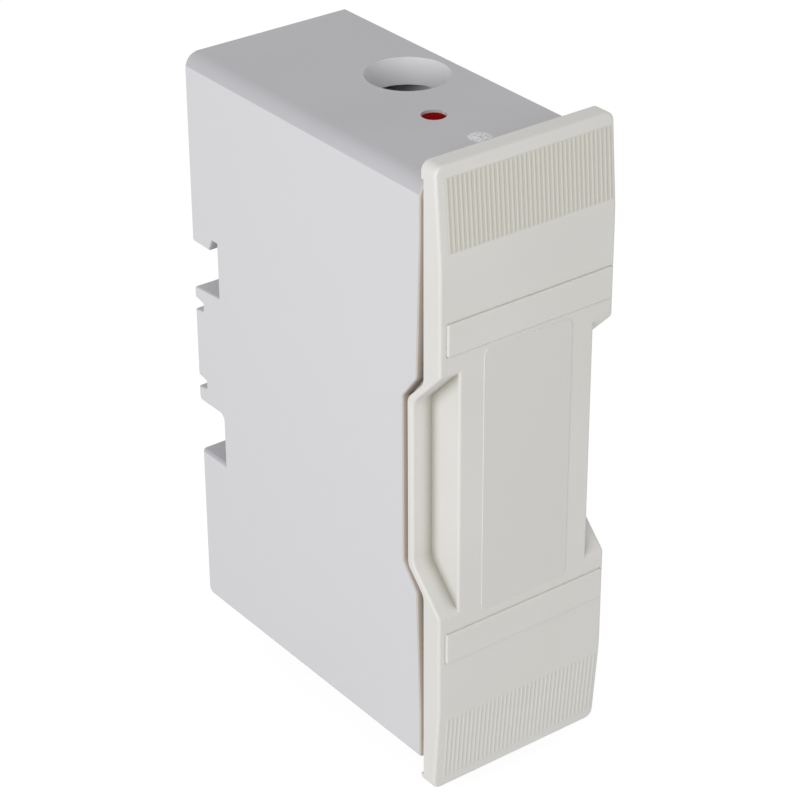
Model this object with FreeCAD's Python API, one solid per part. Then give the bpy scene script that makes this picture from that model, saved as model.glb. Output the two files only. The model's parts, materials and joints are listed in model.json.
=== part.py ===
import FreeCAD, Part
import math
import os

# DIN rail fuse holder: a moulded base on a 35 mm top-hat rail, with a pull-out fuse carrier in its front.
# Millimetres. +X is to the right of someone who faces the holder, +Y runs from the front to the rail and
# +Z is up.
# The origin is the middle of the rail slot: mid width, on the face that the rail's lips rest on, at the
# height of the rail's centreline.

# Working allowances: how far a cut runs past the face that it opens, how far a rib runs into the wall that it
# grows from, and the largest difference at which two places count as the same
overrun = 1.0
root_overlap = 1.0
same_place = 0.01

# Base: outside
body_width = 29.45
body_height = 95.0
seat_depth = 50.5
hook_reach = 6.7
rail_centre_height = 48.1
top_edge_radius = 2.4
bottom_edge_radius = 0.6
back_corner_radius = 1.2
edge_round = 0.25

# Base: walls
side_wall = 2.0
end_wall = 2.5
back_wall = 2.0

# Base: front edge of the two side walls, with the shallow notch behind the grip
edge_dip = 0.8
edge_dip_start = 8.0
notch_depth = 4.0
notch_floor = 27.6
notch_mouth = 35.6
notch_drop = 0.65
notch_radius = 1.0

# Rail and the parts of the base that hold it
rail_height = 35.0
rail_lip_thickness = 1.0
hook_overlap = 1.3
hook_clearance = 0.6
hook_pocket_depth = 1.35
hook_mouth_depth = 2.2
hook_edge_radius = 0.4
block_height = 20.6
block_drop = 1.4
block_taper = 0.5
block_edge_radius = 0.6
block_root_radius = 1.2
groove_spacing = 13.7
groove_mouth = 2.1
groove_floor = 1.3
groove_depth = 2.1
groove_radius = 0.3
ledge_gap = 3.2

# Cable entries
cable_radius = 6.45
cable_depth = 30.75
cable_bore_length = 4.4
cable_collar_wall = 1.5

# Mark of the mould's gate, a low button on top near the front
gate_mark_x = 0.95
gate_mark_depth = 6.7
gate_mark_radius = 1.8
gate_mark_height = 0.45

# Carrier: plate
plate_width = 31.2
plate_overhang = 3.5
plate_rise = 0.4
plate_front = 5.6
plate_back = 1.98
plate_end_slope = 1.2
plate_slope_length = 14.2
plate_slope_blend = 40.0
plate_corner_radius = 1.4
plate_edge_radius = 0.45
plate_lip = 0.5
plate_lip_clearance = 1.45

# Carrier: grip
grip_width = 24.2
grip_edge_radius = 0.4
recess_mouth = 39.6
recess_floor = 26.8
recess_depth = 6.27
recess_radius = 2.6
mouth_radius = 1.0
web_thickness = 1.0
web_radius = 2.0

# Carrier: face
label_left_reach = 7.85
label_right_reach = 8.05
label_height = 43.1
label_lift = 0.4
label_rise = 0.1
label_corner_radius = 1.2
label_edge_radius = 0.08
pad_left_margin = 1.2
pad_right_margin = 0.45
pad_height = 5.0
pad_offset = 25.35
pad_thickness = 0.35
pad_corner_radius = 0.3
pad_edge_radius = 0.25
pad_seam_width = 0.15
pad_seam_depth = 0.3
rib_pitch = 0.788
rib_count = 37
rib_shift = 0.46
rib_width = 0.6
rib_height = 0.07
rib_length = 11.1
rib_end_margin = 1.8
rib_end_taper = 0.5
rib_root = 0.12

# Carrier: inside
carrier_clearance = 0.3
carrier_wall = 1.5
carrier_face_wall = 2.2
skirt_depth = 3.0
cheek_depth = 18.0
cheek_gap = 1.7
saddle_thickness = 3.0
saddle_offset = 9.0
saddle_depth = 9.0
saddle_clearance = 0.05

# Fuse link
fuse_axis_depth = 13.0
barrel_radius = 8.75
barrel_bore = 6.0
barrel_length = 33.0
cap_wall = 0.35
cap_reach = 4.5
cap_end = 1.2
blade_offset = 5.0
blade_thickness = 1.8
blade_width = 8.0
blade_reach = 12.8
blade_foot = 8.0
blade_foot_thickness = 1.5
element_thickness = 0.2
element_width = 6.0
element_notch = 1.3
element_notches = 3
element_slot = 0.1

# Fuse clips
clip_gap = 0.05
clip_thickness = 0.5
clip_width = 4.0
clip_opening = 140.0
clip_boss_width = 6.0

# Contacts and jaws
strip_depth = 24.0
strip_thickness = 2.0
contact_gap = 2.8
crossbar_height = 5.0
tongue_reach = 11.5
tongue_clearance = 0.2
jaw_clearance = 0.1
finger_thickness = 1.2
finger_reach = 14.5
finger_height = 10.0
finger_lift = 1.0
finger_flare = 0.9
finger_flare_length = 1.6
jaw_back_margin = 1.0
jaw_spring_thickness = 0.8
jaw_spring_width = 6.0
jaw_spring_depth = 12.5
jaw_spring_lift = 1.5
jaw_spring_gap = 0.6
jaw_spring_bend = 0.4

# Screws that hold the contacts on the posts of the base
contact_screw_x = -0.3
contact_screw_radius = 1.45
contact_screw_gap = 0.05
contact_screw_head_radius = 2.5
contact_screw_head_height = 1.8
contact_screw_length = 8.0
contact_screw_slot = 0.7
contact_screw_slot_reach = 1.75
contact_screw_slot_depth = 0.8
post_width = 5.0

# Terminals
cage_wall = 1.4
cage_half_width = 5.75
cage_clearance = 0.275
cage_height = 9.0
cage_lift = 0.5
cage_space = 10.5
cage_rear = 2.0
cage_bridge = 4.0
cage_travel = 6.0
screw_radius = 3.0
screw_clearance = 0.05
screw_head_radius = 4.5
screw_head_height = 3.5
screw_head_gap = 0.3
screw_slot = 1.2
screw_slot_reach = 3.4
screw_slot_depth = 1.8
partition_wall = 1.3
partition_gap = 1.0

# Shrouds in front of the terminals and jaws, snapped in between the walls of the base
shroud_depth = 4.5
shroud_thickness = 2.5
shroud_screw_gap = 0.5
shroud_hole_radius = 3.75
shroud_slot_width = 3.0
shroud_slot_margin = 1.2
shroud_wall_gap = 0.05
snap_radius = 0.6
snap_height = 0.4
snap_length = 6.0
snap_inset = 3.0
snap_room = 0.05

# Indicator
lens_x = 0.6
lens_depth = 16.7
lens_hole_radius = 1.87
lens_gap = 0.03
lens_sink = 0.25
lens_flange = 0.75
lens_flange_thickness = 2.0
lens_skin = 1.0
lamp_radius = 1.6
lamp_gap = 0.06
lamp_length = 8.2
lamp_top_gap = 0.2
lamp_tip_height = 1.0
lamp_tip_radius = 0.8
lead_radius = 0.25
lead_spread = 0.8
lead_shift = 0.6
lead_bend = 0.6
lead_drop = 1.1
lead_run_x = 10.4
lead_run_depth = 25.0
lead_link_lift = 3.5
resistor_radius = 1.2
resistor_length = 7.0
resistor_waist = 0.2
resistor_cap = 1.6

# Latch at the lower lip of the rail
latch_width = 12.0
latch_thickness = 2.9
latch_slack = 0.6
latch_clearance = 0.1
latch_overlap = 2.4
latch_foot = 1.0
latch_lead_in = 2.5
latch_tip = 0.8
latch_core_side = 1.7
spring_length = 10.0
spring_outer_radius = 1.3
spring_wire_radius = 0.2
spring_turns = 6.0
spring_room = 0.3
lug_height = 2.0
lug_rise = 5.0
lug_gap = 0.1
lug_root = 0.5

# Places that follow from the sizes
half_width = body_width / 2
inner_half = half_width - side_wall
FRONT = -seat_depth
BACK = hook_reach
BOTTOM = -rail_centre_height
TOP = BOTTOM + body_height
MIDDLE = (TOP + BOTTOM) / 2
INNER_TOP = TOP - end_wall
FACE_MIDDLE = MIDDLE + plate_rise
notch_middle = MIDDLE - notch_drop
half_rail = rail_height / 2
hook_z = half_rail - hook_overlap
hook_top = half_rail + hook_clearance
block_top = -block_drop + block_height / 2
block_bottom = -block_drop - block_height / 2
ledge_z = -half_rail - ledge_gap
terminal_x = inner_half - cage_clearance - cage_half_width
cable_y = FRONT + cable_depth
fuse_y = FRONT + fuse_axis_depth
strip_y = FRONT + strip_depth
strip_back_y = strip_y + strip_thickness
barrel_half = barrel_length / 2
cap_top = barrel_half + cap_end
blade_x = -blade_offset
contact_low = cap_top + contact_gap
crossbar_top = contact_low + crossbar_height
cage_low = crossbar_top + cage_lift
cage_middle = cage_low + cage_height / 2
shroud_middle_y = FRONT + shroud_depth + shroud_thickness / 2
head_front_y = FRONT + shroud_depth + shroud_thickness + shroud_screw_gap
head_back_y = head_front_y + screw_head_height
bridge_front_y = head_back_y + screw_head_gap + cage_travel
cage_inner_back_y = strip_back_y + cage_space
cage_back_y = cage_inner_back_y + cage_rear
cheek_half = contact_low - cheek_gap
shroud_low = cheek_half + cheek_gap
plate_half_width = plate_width / 2
plate_half_height = body_height / 2 + plate_overhang
plate_front_y = FRONT - plate_front
plate_end_y = plate_front_y + plate_end_slope
plate_back_y = FRONT - plate_back
recess_y = plate_front_y + recess_depth
web_y = recess_y + web_thickness
ramp_slope = (recess_mouth - recess_floor) / 2 / recess_depth
web_end = recess_floor / 2 + web_thickness * (math.hypot(1, ramp_slope) - ramp_slope)
ramp_end = web_end + (web_y - plate_back_y) * ramp_slope
pad_left = pad_left_margin - plate_half_width
pad_right = plate_half_width - pad_right_margin
carrier_half = inner_half - carrier_clearance
skirt_half_height = body_height / 2 - end_wall - carrier_clearance
clip_inner = barrel_radius + clip_gap
clip_outer = clip_inner + clip_thickness
saddle_low = saddle_offset - saddle_thickness / 2
finger_low = contact_low + finger_lift
finger_top = finger_low + finger_height
finger_inner = blade_thickness / 2 + jaw_clearance
finger_outer = finger_inner + finger_thickness
jaw_left = blade_x - finger_outer - jaw_back_margin
jaw_right = blade_x + finger_outer + jaw_back_margin
tongue_half = cage_half_width - cage_wall - tongue_clearance
blade_end = cap_top + blade_reach + blade_foot_thickness
contact_screw_z = contact_low + crossbar_height / 2
latch_front_y = rail_lip_thickness + latch_slack
latch_back_y = latch_front_y + latch_thickness
latch_top = -half_rail + latch_overlap
lug_low = BOTTOM + lug_rise
lug_top = lug_low + lug_height
spring_top = lug_top + spring_length
lens_socket_top = INNER_TOP - lens_skin + lens_gap
lamp_top = lens_socket_top - lamp_top_gap
lamp_bottom = lamp_top - lamp_length
lens_y = FRONT + lens_depth


def vector(x, y, z):
    return FreeCAD.Vector(x, y, z)


def box(x_low, x_high, y_low, y_high, z_low, z_high):
    return Part.makeBox(x_high - x_low, y_high - y_low, z_high - z_low, vector(x_low, y_low, z_low))


def rod(radius, start, end):
    axis = end - start
    return Part.makeCylinder(radius, axis.Length, start, axis)


def rounded_edges(points, radii, closed):
    """Straight edges through the points, with a tangent arc of its own radius at each point."""
    count = len(points)
    edges = []
    starts = []
    ends = []
    for index, (corner, radius) in enumerate(zip(points, radii)):
        inside = closed or 0 < index < count - 1
        if radius <= 0 or not inside:
            starts.append(corner)
            ends.append(corner)
            edges.append(None)
            continue
        back = (points[index - 1] - corner).normalize()
        ahead = (points[(index + 1) % count] - corner).normalize()
        half_angle = back.getAngle(ahead) / 2
        reach = radius / math.tan(half_angle)
        middle_way = (back + ahead).normalize()
        centre_distance = radius / math.sin(half_angle)
        starts.append(corner + back * reach)
        ends.append(corner + ahead * reach)
        on_arc = corner + middle_way * (centre_distance - radius)
        edges.append(Part.Arc(starts[-1], on_arc, ends[-1]).toShape())
    joined = []
    last = count if closed else count - 1
    for index in range(count):
        if edges[index] is not None:
            joined.append(edges[index])
        if index < last:
            joined.append(Part.LineSegment(ends[index], starts[(index + 1) % count]).toShape())
    return joined


def prism(points, radii, sweep):
    outline = Part.Wire(rounded_edges(points, radii, True))
    return Part.Face(outline).extrude(sweep)


def side_prism(corners, x_low, x_high):
    """Solid of a (y, z, radius) outline, swept across the width."""
    points = [vector(x_low, y, z) for y, z, radius in corners]
    return prism(points, [corner[2] for corner in corners], vector(x_high - x_low, 0, 0))


def front_prism(corners, y_low, y_high):
    """Solid of an (x, z, radius) outline, swept from the front to the back."""
    points = [vector(x, y_low, z) for x, z, radius in corners]
    return prism(points, [corner[2] for corner in corners], vector(0, y_high - y_low, 0))


def top_prism(corners, z_low, z_high):
    """Solid of an (x, y, radius) outline, swept upwards."""
    points = [vector(x, y, z_low) for x, y, radius in corners]
    return prism(points, [corner[2] for corner in corners], vector(0, 0, z_high - z_low))


def rounded_slab(half_x, z_middle, half_z, radius, y_low, y_high):
    corners = [(-half_x, z_middle - half_z, radius), (half_x, z_middle - half_z, radius),
               (half_x, z_middle + half_z, radius), (-half_x, z_middle + half_z, radius)]
    return front_prism(corners, y_low, y_high)


def tube_along(points, bend, radius):
    """Round wire of one radius along straight runs with tangent bends."""
    path = Part.Wire(rounded_edges(points, [bend] * len(points), False))
    ring = Part.Circle(points[0], points[1] - points[0], radius).toShape()
    return path.makePipeShell([Part.Wire(ring)], True, False)


def flipped(shape, level=None):
    """The same piece at the other end of the holder."""
    return shape.mirror(vector(0, 0, MIDDLE if level is None else level), vector(0, 0, 1))


def both_ends(shape, level=None):
    return [shape, flipped(shape, level)]


def crossed_slot(centre, reach, width, depth):
    """Cross recess cut into a screw head from the front."""
    upright = box(centre.x - width / 2, centre.x + width / 2, centre.y, centre.y + depth,
                  centre.z - reach, centre.z + reach)
    level = box(centre.x - reach, centre.x + reach, centre.y, centre.y + depth,
                centre.z - width / 2, centre.z + width / 2)
    return upright.fuse(level)


def base_outline():
    """Side view of the base, from the front bottom corner up the front and down the back."""
    block_middle = -block_drop
    corners = [
        (FRONT, BOTTOM, 0),
        (FRONT, BOTTOM + edge_dip_start, 0),
        (FRONT + edge_dip, notch_middle - notch_mouth / 2, notch_radius),
        (FRONT + notch_depth, notch_middle - notch_floor / 2, notch_radius),
        (FRONT + notch_depth, notch_middle + notch_floor / 2, notch_radius),
        (FRONT + edge_dip, notch_middle + notch_mouth / 2, notch_radius),
        (FRONT, TOP - edge_dip_start, 0),
        (FRONT, TOP, 0),
        (BACK, TOP, 0),
        (BACK, hook_z, hook_edge_radius),
        (hook_mouth_depth, hook_z, 0),
        (hook_pocket_depth, hook_top, 0),
        (0, hook_top, 0),
        (0, block_top, 0),
        (BACK, block_top - block_taper, block_edge_radius),
    ]
    for side in (1, -1):
        middle = block_middle + side * groove_spacing / 2
        corners += [
            (BACK, middle + groove_mouth / 2, 0),
            (BACK - groove_depth, middle + groove_floor / 2, groove_radius),
            (BACK - groove_depth, middle - groove_floor / 2, groove_radius),
            (BACK, middle - groove_mouth / 2, 0),
        ]
    corners += [
        (BACK, block_bottom, block_edge_radius),
        (0, block_bottom, block_root_radius),
        (0, ledge_z, 0),
        (BACK, ledge_z, hook_edge_radius),
        (BACK, BOTTOM, back_corner_radius),
    ]
    return corners


def long_edge(shape, level):
    """The edge that runs from front to back at the left of the top or the bottom."""
    found = []
    for edge in shape.Edges:
        low = edge.BoundBox
        at_side = abs(low.XMin + half_width) < same_place and low.XLength < same_place
        level_run = low.ZLength < same_place and abs(low.ZMin - level) < same_place
        if at_side and level_run and low.YLength > seat_depth / 2:
            found.append(edge)
    return found


def side_outline_edges(shape):
    """The outlines of the two side faces, without the lines where the long rounds run into the left one."""
    found = []
    for edge in shape.Edges:
        reach = edge.BoundBox
        at_side = reach.XLength < same_place and abs(abs(reach.XMin) - half_width) < same_place
        level_run = reach.ZLength < same_place
        at_round = min(abs(reach.ZMin - TOP + top_edge_radius),
                       abs(reach.ZMin - BOTTOM - bottom_edge_radius)) < same_place
        if at_side and not (level_run and at_round):
            found.append(edge)
    return found


def base_hollow():
    """Everything that the inside of the base leaves empty."""
    main = box(-inner_half, inner_half, FRONT - overrun, -back_wall, BOTTOM + end_wall, INNER_TOP)
    above_hook = box(-inner_half, inner_half, -back_wall, BACK - back_wall, hook_top + back_wall, INNER_TOP)
    core_inner = latch_width / 2 + latch_clearance + latch_core_side
    hollow = main.fuse(above_hook)
    for side in (1, -1):
        x_edges = sorted([side * core_inner, side * inner_half])
        core = box(x_edges[0], x_edges[1], -back_wall, BACK - back_wall,
                   BOTTOM + end_wall, ledge_z - back_wall)
        hollow = hollow.fuse(core)
    return hollow


def shroud_snaps(room):
    """Half-round ribs on the sides of the upper shroud, with room round them for their pockets."""
    ribs = []
    low = MIDDLE + shroud_low + snap_inset
    high = INNER_TOP - snap_inset - snap_length
    for side in (1, -1):
        x = side * (inner_half + snap_height - snap_radius)
        for z in (low, high):
            ribs.append(rod(snap_radius + room, vector(x, shroud_middle_y, z - room),
                            vector(x, shroud_middle_y, z + snap_length + room)))
    return ribs


def terminal_shroud():
    """Upper shroud with the slot for the blade and the hole for the screwdriver."""
    plate = box(shroud_wall_gap - inner_half, inner_half - shroud_wall_gap,
                FRONT + shroud_depth, FRONT + shroud_depth + shroud_thickness,
                MIDDLE + shroud_low, INNER_TOP - shroud_wall_gap)
    slot = box(blade_x - shroud_slot_width / 2, blade_x + shroud_slot_width / 2,
               FRONT, FRONT + shroud_depth + shroud_thickness + overrun,
               MIDDLE + shroud_low - overrun, MIDDLE + blade_end + shroud_slot_margin)
    hole = rod(shroud_hole_radius, vector(terminal_x, FRONT, MIDDLE + cage_middle),
               vector(terminal_x, head_front_y, MIDDLE + cage_middle))
    return plate.multiFuse(shroud_snaps(0)).cut(slot.fuse(hole))


def base_inner_walls():
    """Post, partition and collar of the upper end."""
    root_y = BACK - back_wall + root_overlap
    post = box(contact_screw_x - post_width / 2, contact_screw_x + post_width / 2,
               strip_back_y, root_y, MIDDLE + contact_low, MIDDLE + crossbar_top)
    thread = rod(contact_screw_radius + contact_screw_gap,
                 vector(contact_screw_x, strip_back_y, MIDDLE + contact_screw_z),
                 vector(contact_screw_x, strip_back_y + contact_screw_length, MIDDLE + contact_screw_z))
    partition_x = terminal_x - cable_radius - cage_clearance
    partition = box(partition_x - partition_wall, partition_x, strip_back_y + partition_gap,
                    root_y, MIDDLE + crossbar_top + partition_gap, INNER_TOP)
    collar = rod(cable_radius + cable_collar_wall, vector(terminal_x, cable_y, TOP - cable_bore_length),
                 vector(terminal_x, cable_y, TOP - end_wall / 2))
    inside = box(-inner_half - side_wall / 2, inner_half + side_wall / 2, FRONT, 0, MIDDLE, TOP)
    return [post.cut(thread), partition, collar.common(inside)]


def base_housing():
    body = side_prism(base_outline(), -half_width, half_width)
    body = body.makeFillet(top_edge_radius, long_edge(body, TOP))
    body = body.makeFillet(bottom_edge_radius, long_edge(body, BOTTOM))
    body = body.makeFillet(edge_round, side_outline_edges(body))
    body = body.cut(base_hollow())
    walls = []
    for wall in base_inner_walls():
        walls += both_ends(wall)
    lug_half = spring_outer_radius + spring_room - lug_gap
    lug = box(-lug_half, lug_half, latch_front_y - latch_clearance - lug_root,
              latch_back_y + latch_clearance + lug_root, lug_low + lug_gap, lug_top)
    dome_radius = (gate_mark_radius ** 2 + gate_mark_height ** 2) / (2 * gate_mark_height)
    gate_centre = vector(gate_mark_x, FRONT + gate_mark_depth, TOP + gate_mark_height - dome_radius)
    gate_mark = Part.makeSphere(dome_radius, gate_centre)
    gate_mark = gate_mark.common(box(-half_width, half_width, FRONT, 0, TOP - end_wall / 2, TOP + end_wall))
    channel = box(-latch_width / 2 - latch_clearance, latch_width / 2 + latch_clearance,
                  latch_front_y - latch_clearance, latch_back_y + latch_clearance,
                  BOTTOM - overrun, ledge_z + overrun)
    cable_bore = rod(cable_radius, vector(terminal_x, cable_y, TOP - cable_bore_length - overrun),
                     vector(terminal_x, cable_y, TOP + overrun))
    lens_hole = rod(lens_hole_radius, vector(lens_x, lens_y, INNER_TOP - overrun),
                    vector(lens_x, lens_y, TOP + overrun))
    body = body.multiFuse(walls + [gate_mark])
    pockets = []
    for rib in shroud_snaps(snap_room):
        pockets += both_ends(rib)
    body = body.cut(Part.makeCompound(both_ends(cable_bore) + pockets + [lens_hole, channel]))
    return body.fuse(lug)


def contact(end_reach):
    """Strip with the terminal tongue, and the two fingers that grip the blade."""
    crossbar = box(jaw_left, terminal_x + tongue_half, strip_y, strip_back_y,
                   MIDDLE + contact_low, MIDDLE + crossbar_top)
    tongue = box(terminal_x - tongue_half, terminal_x + tongue_half, strip_y, strip_back_y,
                 MIDDLE + contact_low, MIDDLE + crossbar_top + end_reach)
    jaw_back = box(jaw_left, jaw_right, strip_y, strip_back_y, MIDDLE + contact_low, MIDDLE + finger_top)
    shape = crossbar.fuse(tongue).fuse(jaw_back)
    mouth_y = strip_y - finger_reach
    for side in (1, -1):
        corners = [
            (blade_x + side * finger_inner, strip_y + strip_thickness / 2, 0),
            (blade_x + side * finger_inner, mouth_y + finger_flare_length, 0),
            (blade_x + side * (finger_inner + finger_flare), mouth_y, 0),
            (blade_x + side * finger_outer, mouth_y, 0),
            (blade_x + side * finger_outer, strip_y + strip_thickness / 2, 0),
        ]
        shape = shape.fuse(top_prism(corners, MIDDLE + finger_low, MIDDLE + finger_top))
    bore = rod(contact_screw_radius + contact_screw_gap,
               vector(contact_screw_x, strip_y - overrun, MIDDLE + contact_screw_z),
               vector(contact_screw_x, strip_back_y + overrun, MIDDLE + contact_screw_z))
    return shape.cut(bore)


def jaw_spring():
    """U of spring steel that straddles the fingers and presses them together."""
    low = MIDDLE + finger_low + jaw_spring_lift
    bridge = MIDDLE + blade_end + jaw_spring_gap
    high = bridge + jaw_spring_thickness
    outer = finger_outer + jaw_spring_thickness
    outer_bend = jaw_spring_bend + jaw_spring_thickness
    corners = [
        (blade_x - outer, low, 0), (blade_x - outer, high, outer_bend),
        (blade_x + outer, high, outer_bend), (blade_x + outer, low, 0),
        (blade_x + finger_outer, low, 0), (blade_x + finger_outer, bridge, jaw_spring_bend),
        (blade_x - finger_outer, bridge, jaw_spring_bend), (blade_x - finger_outer, low, 0),
    ]
    front = FRONT + jaw_spring_depth
    return front_prism(corners, front, front + jaw_spring_width)


def contact_screw():
    centre = vector(contact_screw_x, strip_y, MIDDLE + contact_screw_z)
    head_front = centre - vector(0, contact_screw_head_height, 0)
    head = rod(contact_screw_head_radius, head_front, centre)
    shank = rod(contact_screw_radius, centre, centre + vector(0, strip_thickness + contact_screw_length, 0))
    slot = crossed_slot(head_front, contact_screw_slot_reach, contact_screw_slot, contact_screw_slot_depth)
    return head.fuse(shank).cut(slot)


def terminal_cage():
    """Closed loop round the tongue, with the threaded bridge in front and the cable space behind."""
    low = MIDDLE + cage_low
    high = low + cage_height
    outer = box(terminal_x - cage_half_width, terminal_x + cage_half_width,
                bridge_front_y, cage_back_y, low, high)
    inner_half_width = cage_half_width - cage_wall
    window = box(terminal_x - inner_half_width, terminal_x + inner_half_width,
                 bridge_front_y + cage_bridge, cage_inner_back_y, low - overrun, high + overrun)
    thread = rod(screw_radius + screw_clearance,
                 vector(terminal_x, bridge_front_y - overrun, MIDDLE + cage_middle),
                 vector(terminal_x, bridge_front_y + cage_bridge + overrun, MIDDLE + cage_middle))
    return outer.cut(window).cut(thread)


def terminal_screw():
    head_front = vector(terminal_x, head_front_y, MIDDLE + cage_middle)
    head_back = vector(terminal_x, head_back_y, MIDDLE + cage_middle)
    head = rod(screw_head_radius, head_front, head_back)
    shank = rod(screw_radius, head_back, vector(terminal_x, strip_y, MIDDLE + cage_middle))
    slot = crossed_slot(head_front, screw_slot_reach, screw_slot, screw_slot_depth)
    return head.fuse(shank).cut(slot)


def rail_latch():
    """Slider whose nose stands behind the lower lip of the rail."""
    half = latch_width / 2
    corners = [
        (latch_front_y, BOTTOM - latch_foot, 0),
        (latch_front_y, latch_top, 0),
        (latch_front_y + latch_tip, latch_top, 0),
        (latch_back_y, latch_top - latch_lead_in, 0),
        (latch_back_y, BOTTOM - latch_foot, 0),
    ]
    slider = side_prism(corners, -half, half)
    room = spring_outer_radius + spring_room
    window = box(-room, room, latch_front_y - overrun, latch_back_y + overrun, lug_low, spring_top)
    return slider.cut(window)


def rail_latch_spring():
    """Coil spring between the lug of the base and the top of the latch's window."""
    mean_radius = spring_outer_radius - spring_wire_radius
    height = spring_length - 2 * spring_wire_radius
    helix = Part.makeHelix(height / spring_turns, height, mean_radius)
    ring = Part.Circle(vector(mean_radius, 0, 0), vector(0, 1, 0), spring_wire_radius).toShape()
    coil = Part.Wire(helix).makePipeShell([Part.Wire(ring)], True, True)
    middle_y = (latch_front_y + latch_back_y) / 2
    coil.translate(vector(0, middle_y, lug_top + spring_wire_radius))
    return coil


def indicator_lens():
    plug_radius = lens_hole_radius - lens_gap
    top = TOP - lens_sink
    flange_low = INNER_TOP - lens_flange_thickness
    plug = rod(plug_radius, vector(lens_x, lens_y, flange_low), vector(lens_x, lens_y, top))
    flange = rod(lens_hole_radius + lens_flange, vector(lens_x, lens_y, flange_low),
                 vector(lens_x, lens_y, INNER_TOP))
    socket = rod(lamp_radius + lamp_gap, vector(lens_x, lens_y, flange_low - overrun),
                 vector(lens_x, lens_y, lens_socket_top))
    return plug.fuse(flange).cut(socket)


def indicator_lamp():
    straight_top = lamp_top - lamp_tip_height
    tube = rod(lamp_radius, vector(lens_x, lens_y, lamp_bottom), vector(lens_x, lens_y, straight_top))
    tip = Part.makeCone(lamp_radius, lamp_tip_radius, lamp_tip_height,
                        vector(lens_x, lens_y, straight_top), vector(0, 0, 1))
    return tube.fuse(tip)


def resistor_ends():
    x = -lead_run_x
    y = FRONT + lead_run_depth
    half = resistor_length / 2
    return vector(x, y, MIDDLE + half), vector(x, y, MIDDLE - half)


def indicator_resistor():
    """Round body with a slightly fatter cap at each end."""
    upper, lower = resistor_ends()
    body = rod(resistor_radius - resistor_waist, lower, upper)
    step = vector(0, 0, resistor_cap)
    caps = [rod(resistor_radius, upper - step, upper), rod(resistor_radius, lower, lower + step)]
    return body.multiFuse(caps)


def indicator_leads():
    """Three bare wires: lamp to upper contact, lamp to resistor, resistor to lower contact."""
    x = lens_x - lead_shift
    upper, lower = resistor_ends()
    strip_middle = strip_y + strip_thickness / 2
    link_z = MIDDLE + crossbar_top + lead_link_lift
    turn_z = lamp_bottom - lead_drop
    near = tube_along([vector(x, lens_y + lead_spread, lamp_bottom), vector(x, lens_y + lead_spread, link_z),
                       vector(x, strip_middle, link_z), vector(x, strip_middle, MIDDLE + crossbar_top)],
                      lead_bend, lead_radius)
    far = tube_along([vector(x, lens_y - lead_spread, lamp_bottom), vector(x, lens_y - lead_spread, turn_z),
                      vector(upper.x, lens_y - lead_spread, turn_z), vector(upper.x, upper.y, turn_z), upper],
                     lead_bend, lead_radius)
    foot_z = MIDDLE - contact_screw_z
    last = tube_along([lower, vector(lower.x, lower.y, foot_z), vector(jaw_left, lower.y, foot_z)],
                      lead_bend, lead_radius)
    return Part.makeCompound([near, far, last])


def plate_front_line():
    """Side view of the carrier's face as (y, z) corners from the top down."""
    slope_z = plate_half_height - plate_slope_length
    upper = [
        (plate_end_y, plate_half_height, 0),
        (plate_front_y, slope_z, plate_slope_blend),
        (plate_front_y, recess_mouth / 2, mouth_radius),
        (recess_y, recess_floor / 2, recess_radius),
    ]
    lower = [(y, -z, radius) for y, z, radius in reversed(upper)]
    return [(y, FACE_MIDDLE + z, radius) for y, z, radius in upper + lower]


def plate_outline():
    """Side view of the carrier's plate, down its face and up its back."""
    low = FACE_MIDDLE - plate_half_height
    high = FACE_MIDDLE + plate_half_height
    lip_y = plate_back_y + plate_lip
    back = [
        (lip_y, low, 0),
        (lip_y, BOTTOM - plate_lip_clearance, 0),
        (plate_back_y, BOTTOM - plate_lip_clearance, 0),
        (plate_back_y, FACE_MIDDLE - ramp_end, web_radius),
        (web_y, FACE_MIDDLE - web_end, web_radius),
        (web_y, FACE_MIDDLE + web_end, web_radius),
        (plate_back_y, FACE_MIDDLE + ramp_end, web_radius),
        (plate_back_y, TOP + plate_lip_clearance, 0),
        (lip_y, TOP + plate_lip_clearance, 0),
        (lip_y, high, 0),
    ]
    return plate_front_line() + back


def face_depth_at(z):
    """Where the carrier's face lies at a height, before its corners are rounded."""
    line = plate_front_line()
    for (y_above, z_above, _), (y_below, z_below, _) in zip(line, line[1:]):
        if z_below <= z <= z_above:
            share = (z_above - z) / (z_above - z_below)
            return y_above + share * (y_below - y_above)
    return plate_end_y


def plate_corner_edges(shape):
    found = []
    for edge in shape.Edges:
        reach = edge.BoundBox
        short = reach.XLength < same_place and reach.ZLength < same_place
        at_side = abs(abs(reach.XMin) - plate_half_width) < same_place
        at_end = abs(abs(reach.ZMin - FACE_MIDDLE) - plate_half_height) < same_place
        if short and at_side and at_end:
            found.append(edge)
    return found


def plate_rim_edges(shape):
    """The rim of the carrier's face, round its four sides."""
    found = []
    for edge in shape.Edges:
        middle = edge.valueAt((edge.FirstParameter + edge.LastParameter) / 2)
        on_face = middle.y < face_depth_at(middle.z) + plate_edge_radius / 2
        from_end = plate_half_height - abs(middle.z - FACE_MIDDLE)
        from_side = plate_half_width - abs(middle.x)
        at_corner = from_side < plate_corner_radius and from_end < plate_corner_radius
        at_rim = from_side < same_place or from_end < same_place or at_corner
        if on_face and at_rim:
            found.append(edge)
    return found


def grip_bar():
    """The bar between the two finger recesses, flush with the face."""
    half = grip_width / 2
    corners = [
        (-half, plate_front_y, grip_edge_radius), (half, plate_front_y, grip_edge_radius),
        (half, web_y, 0), (-half, web_y, 0),
    ]
    reach = recess_mouth / 2 + recess_radius
    return top_prism(corners, FACE_MIDDLE - reach, FACE_MIDDLE + reach)


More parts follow.
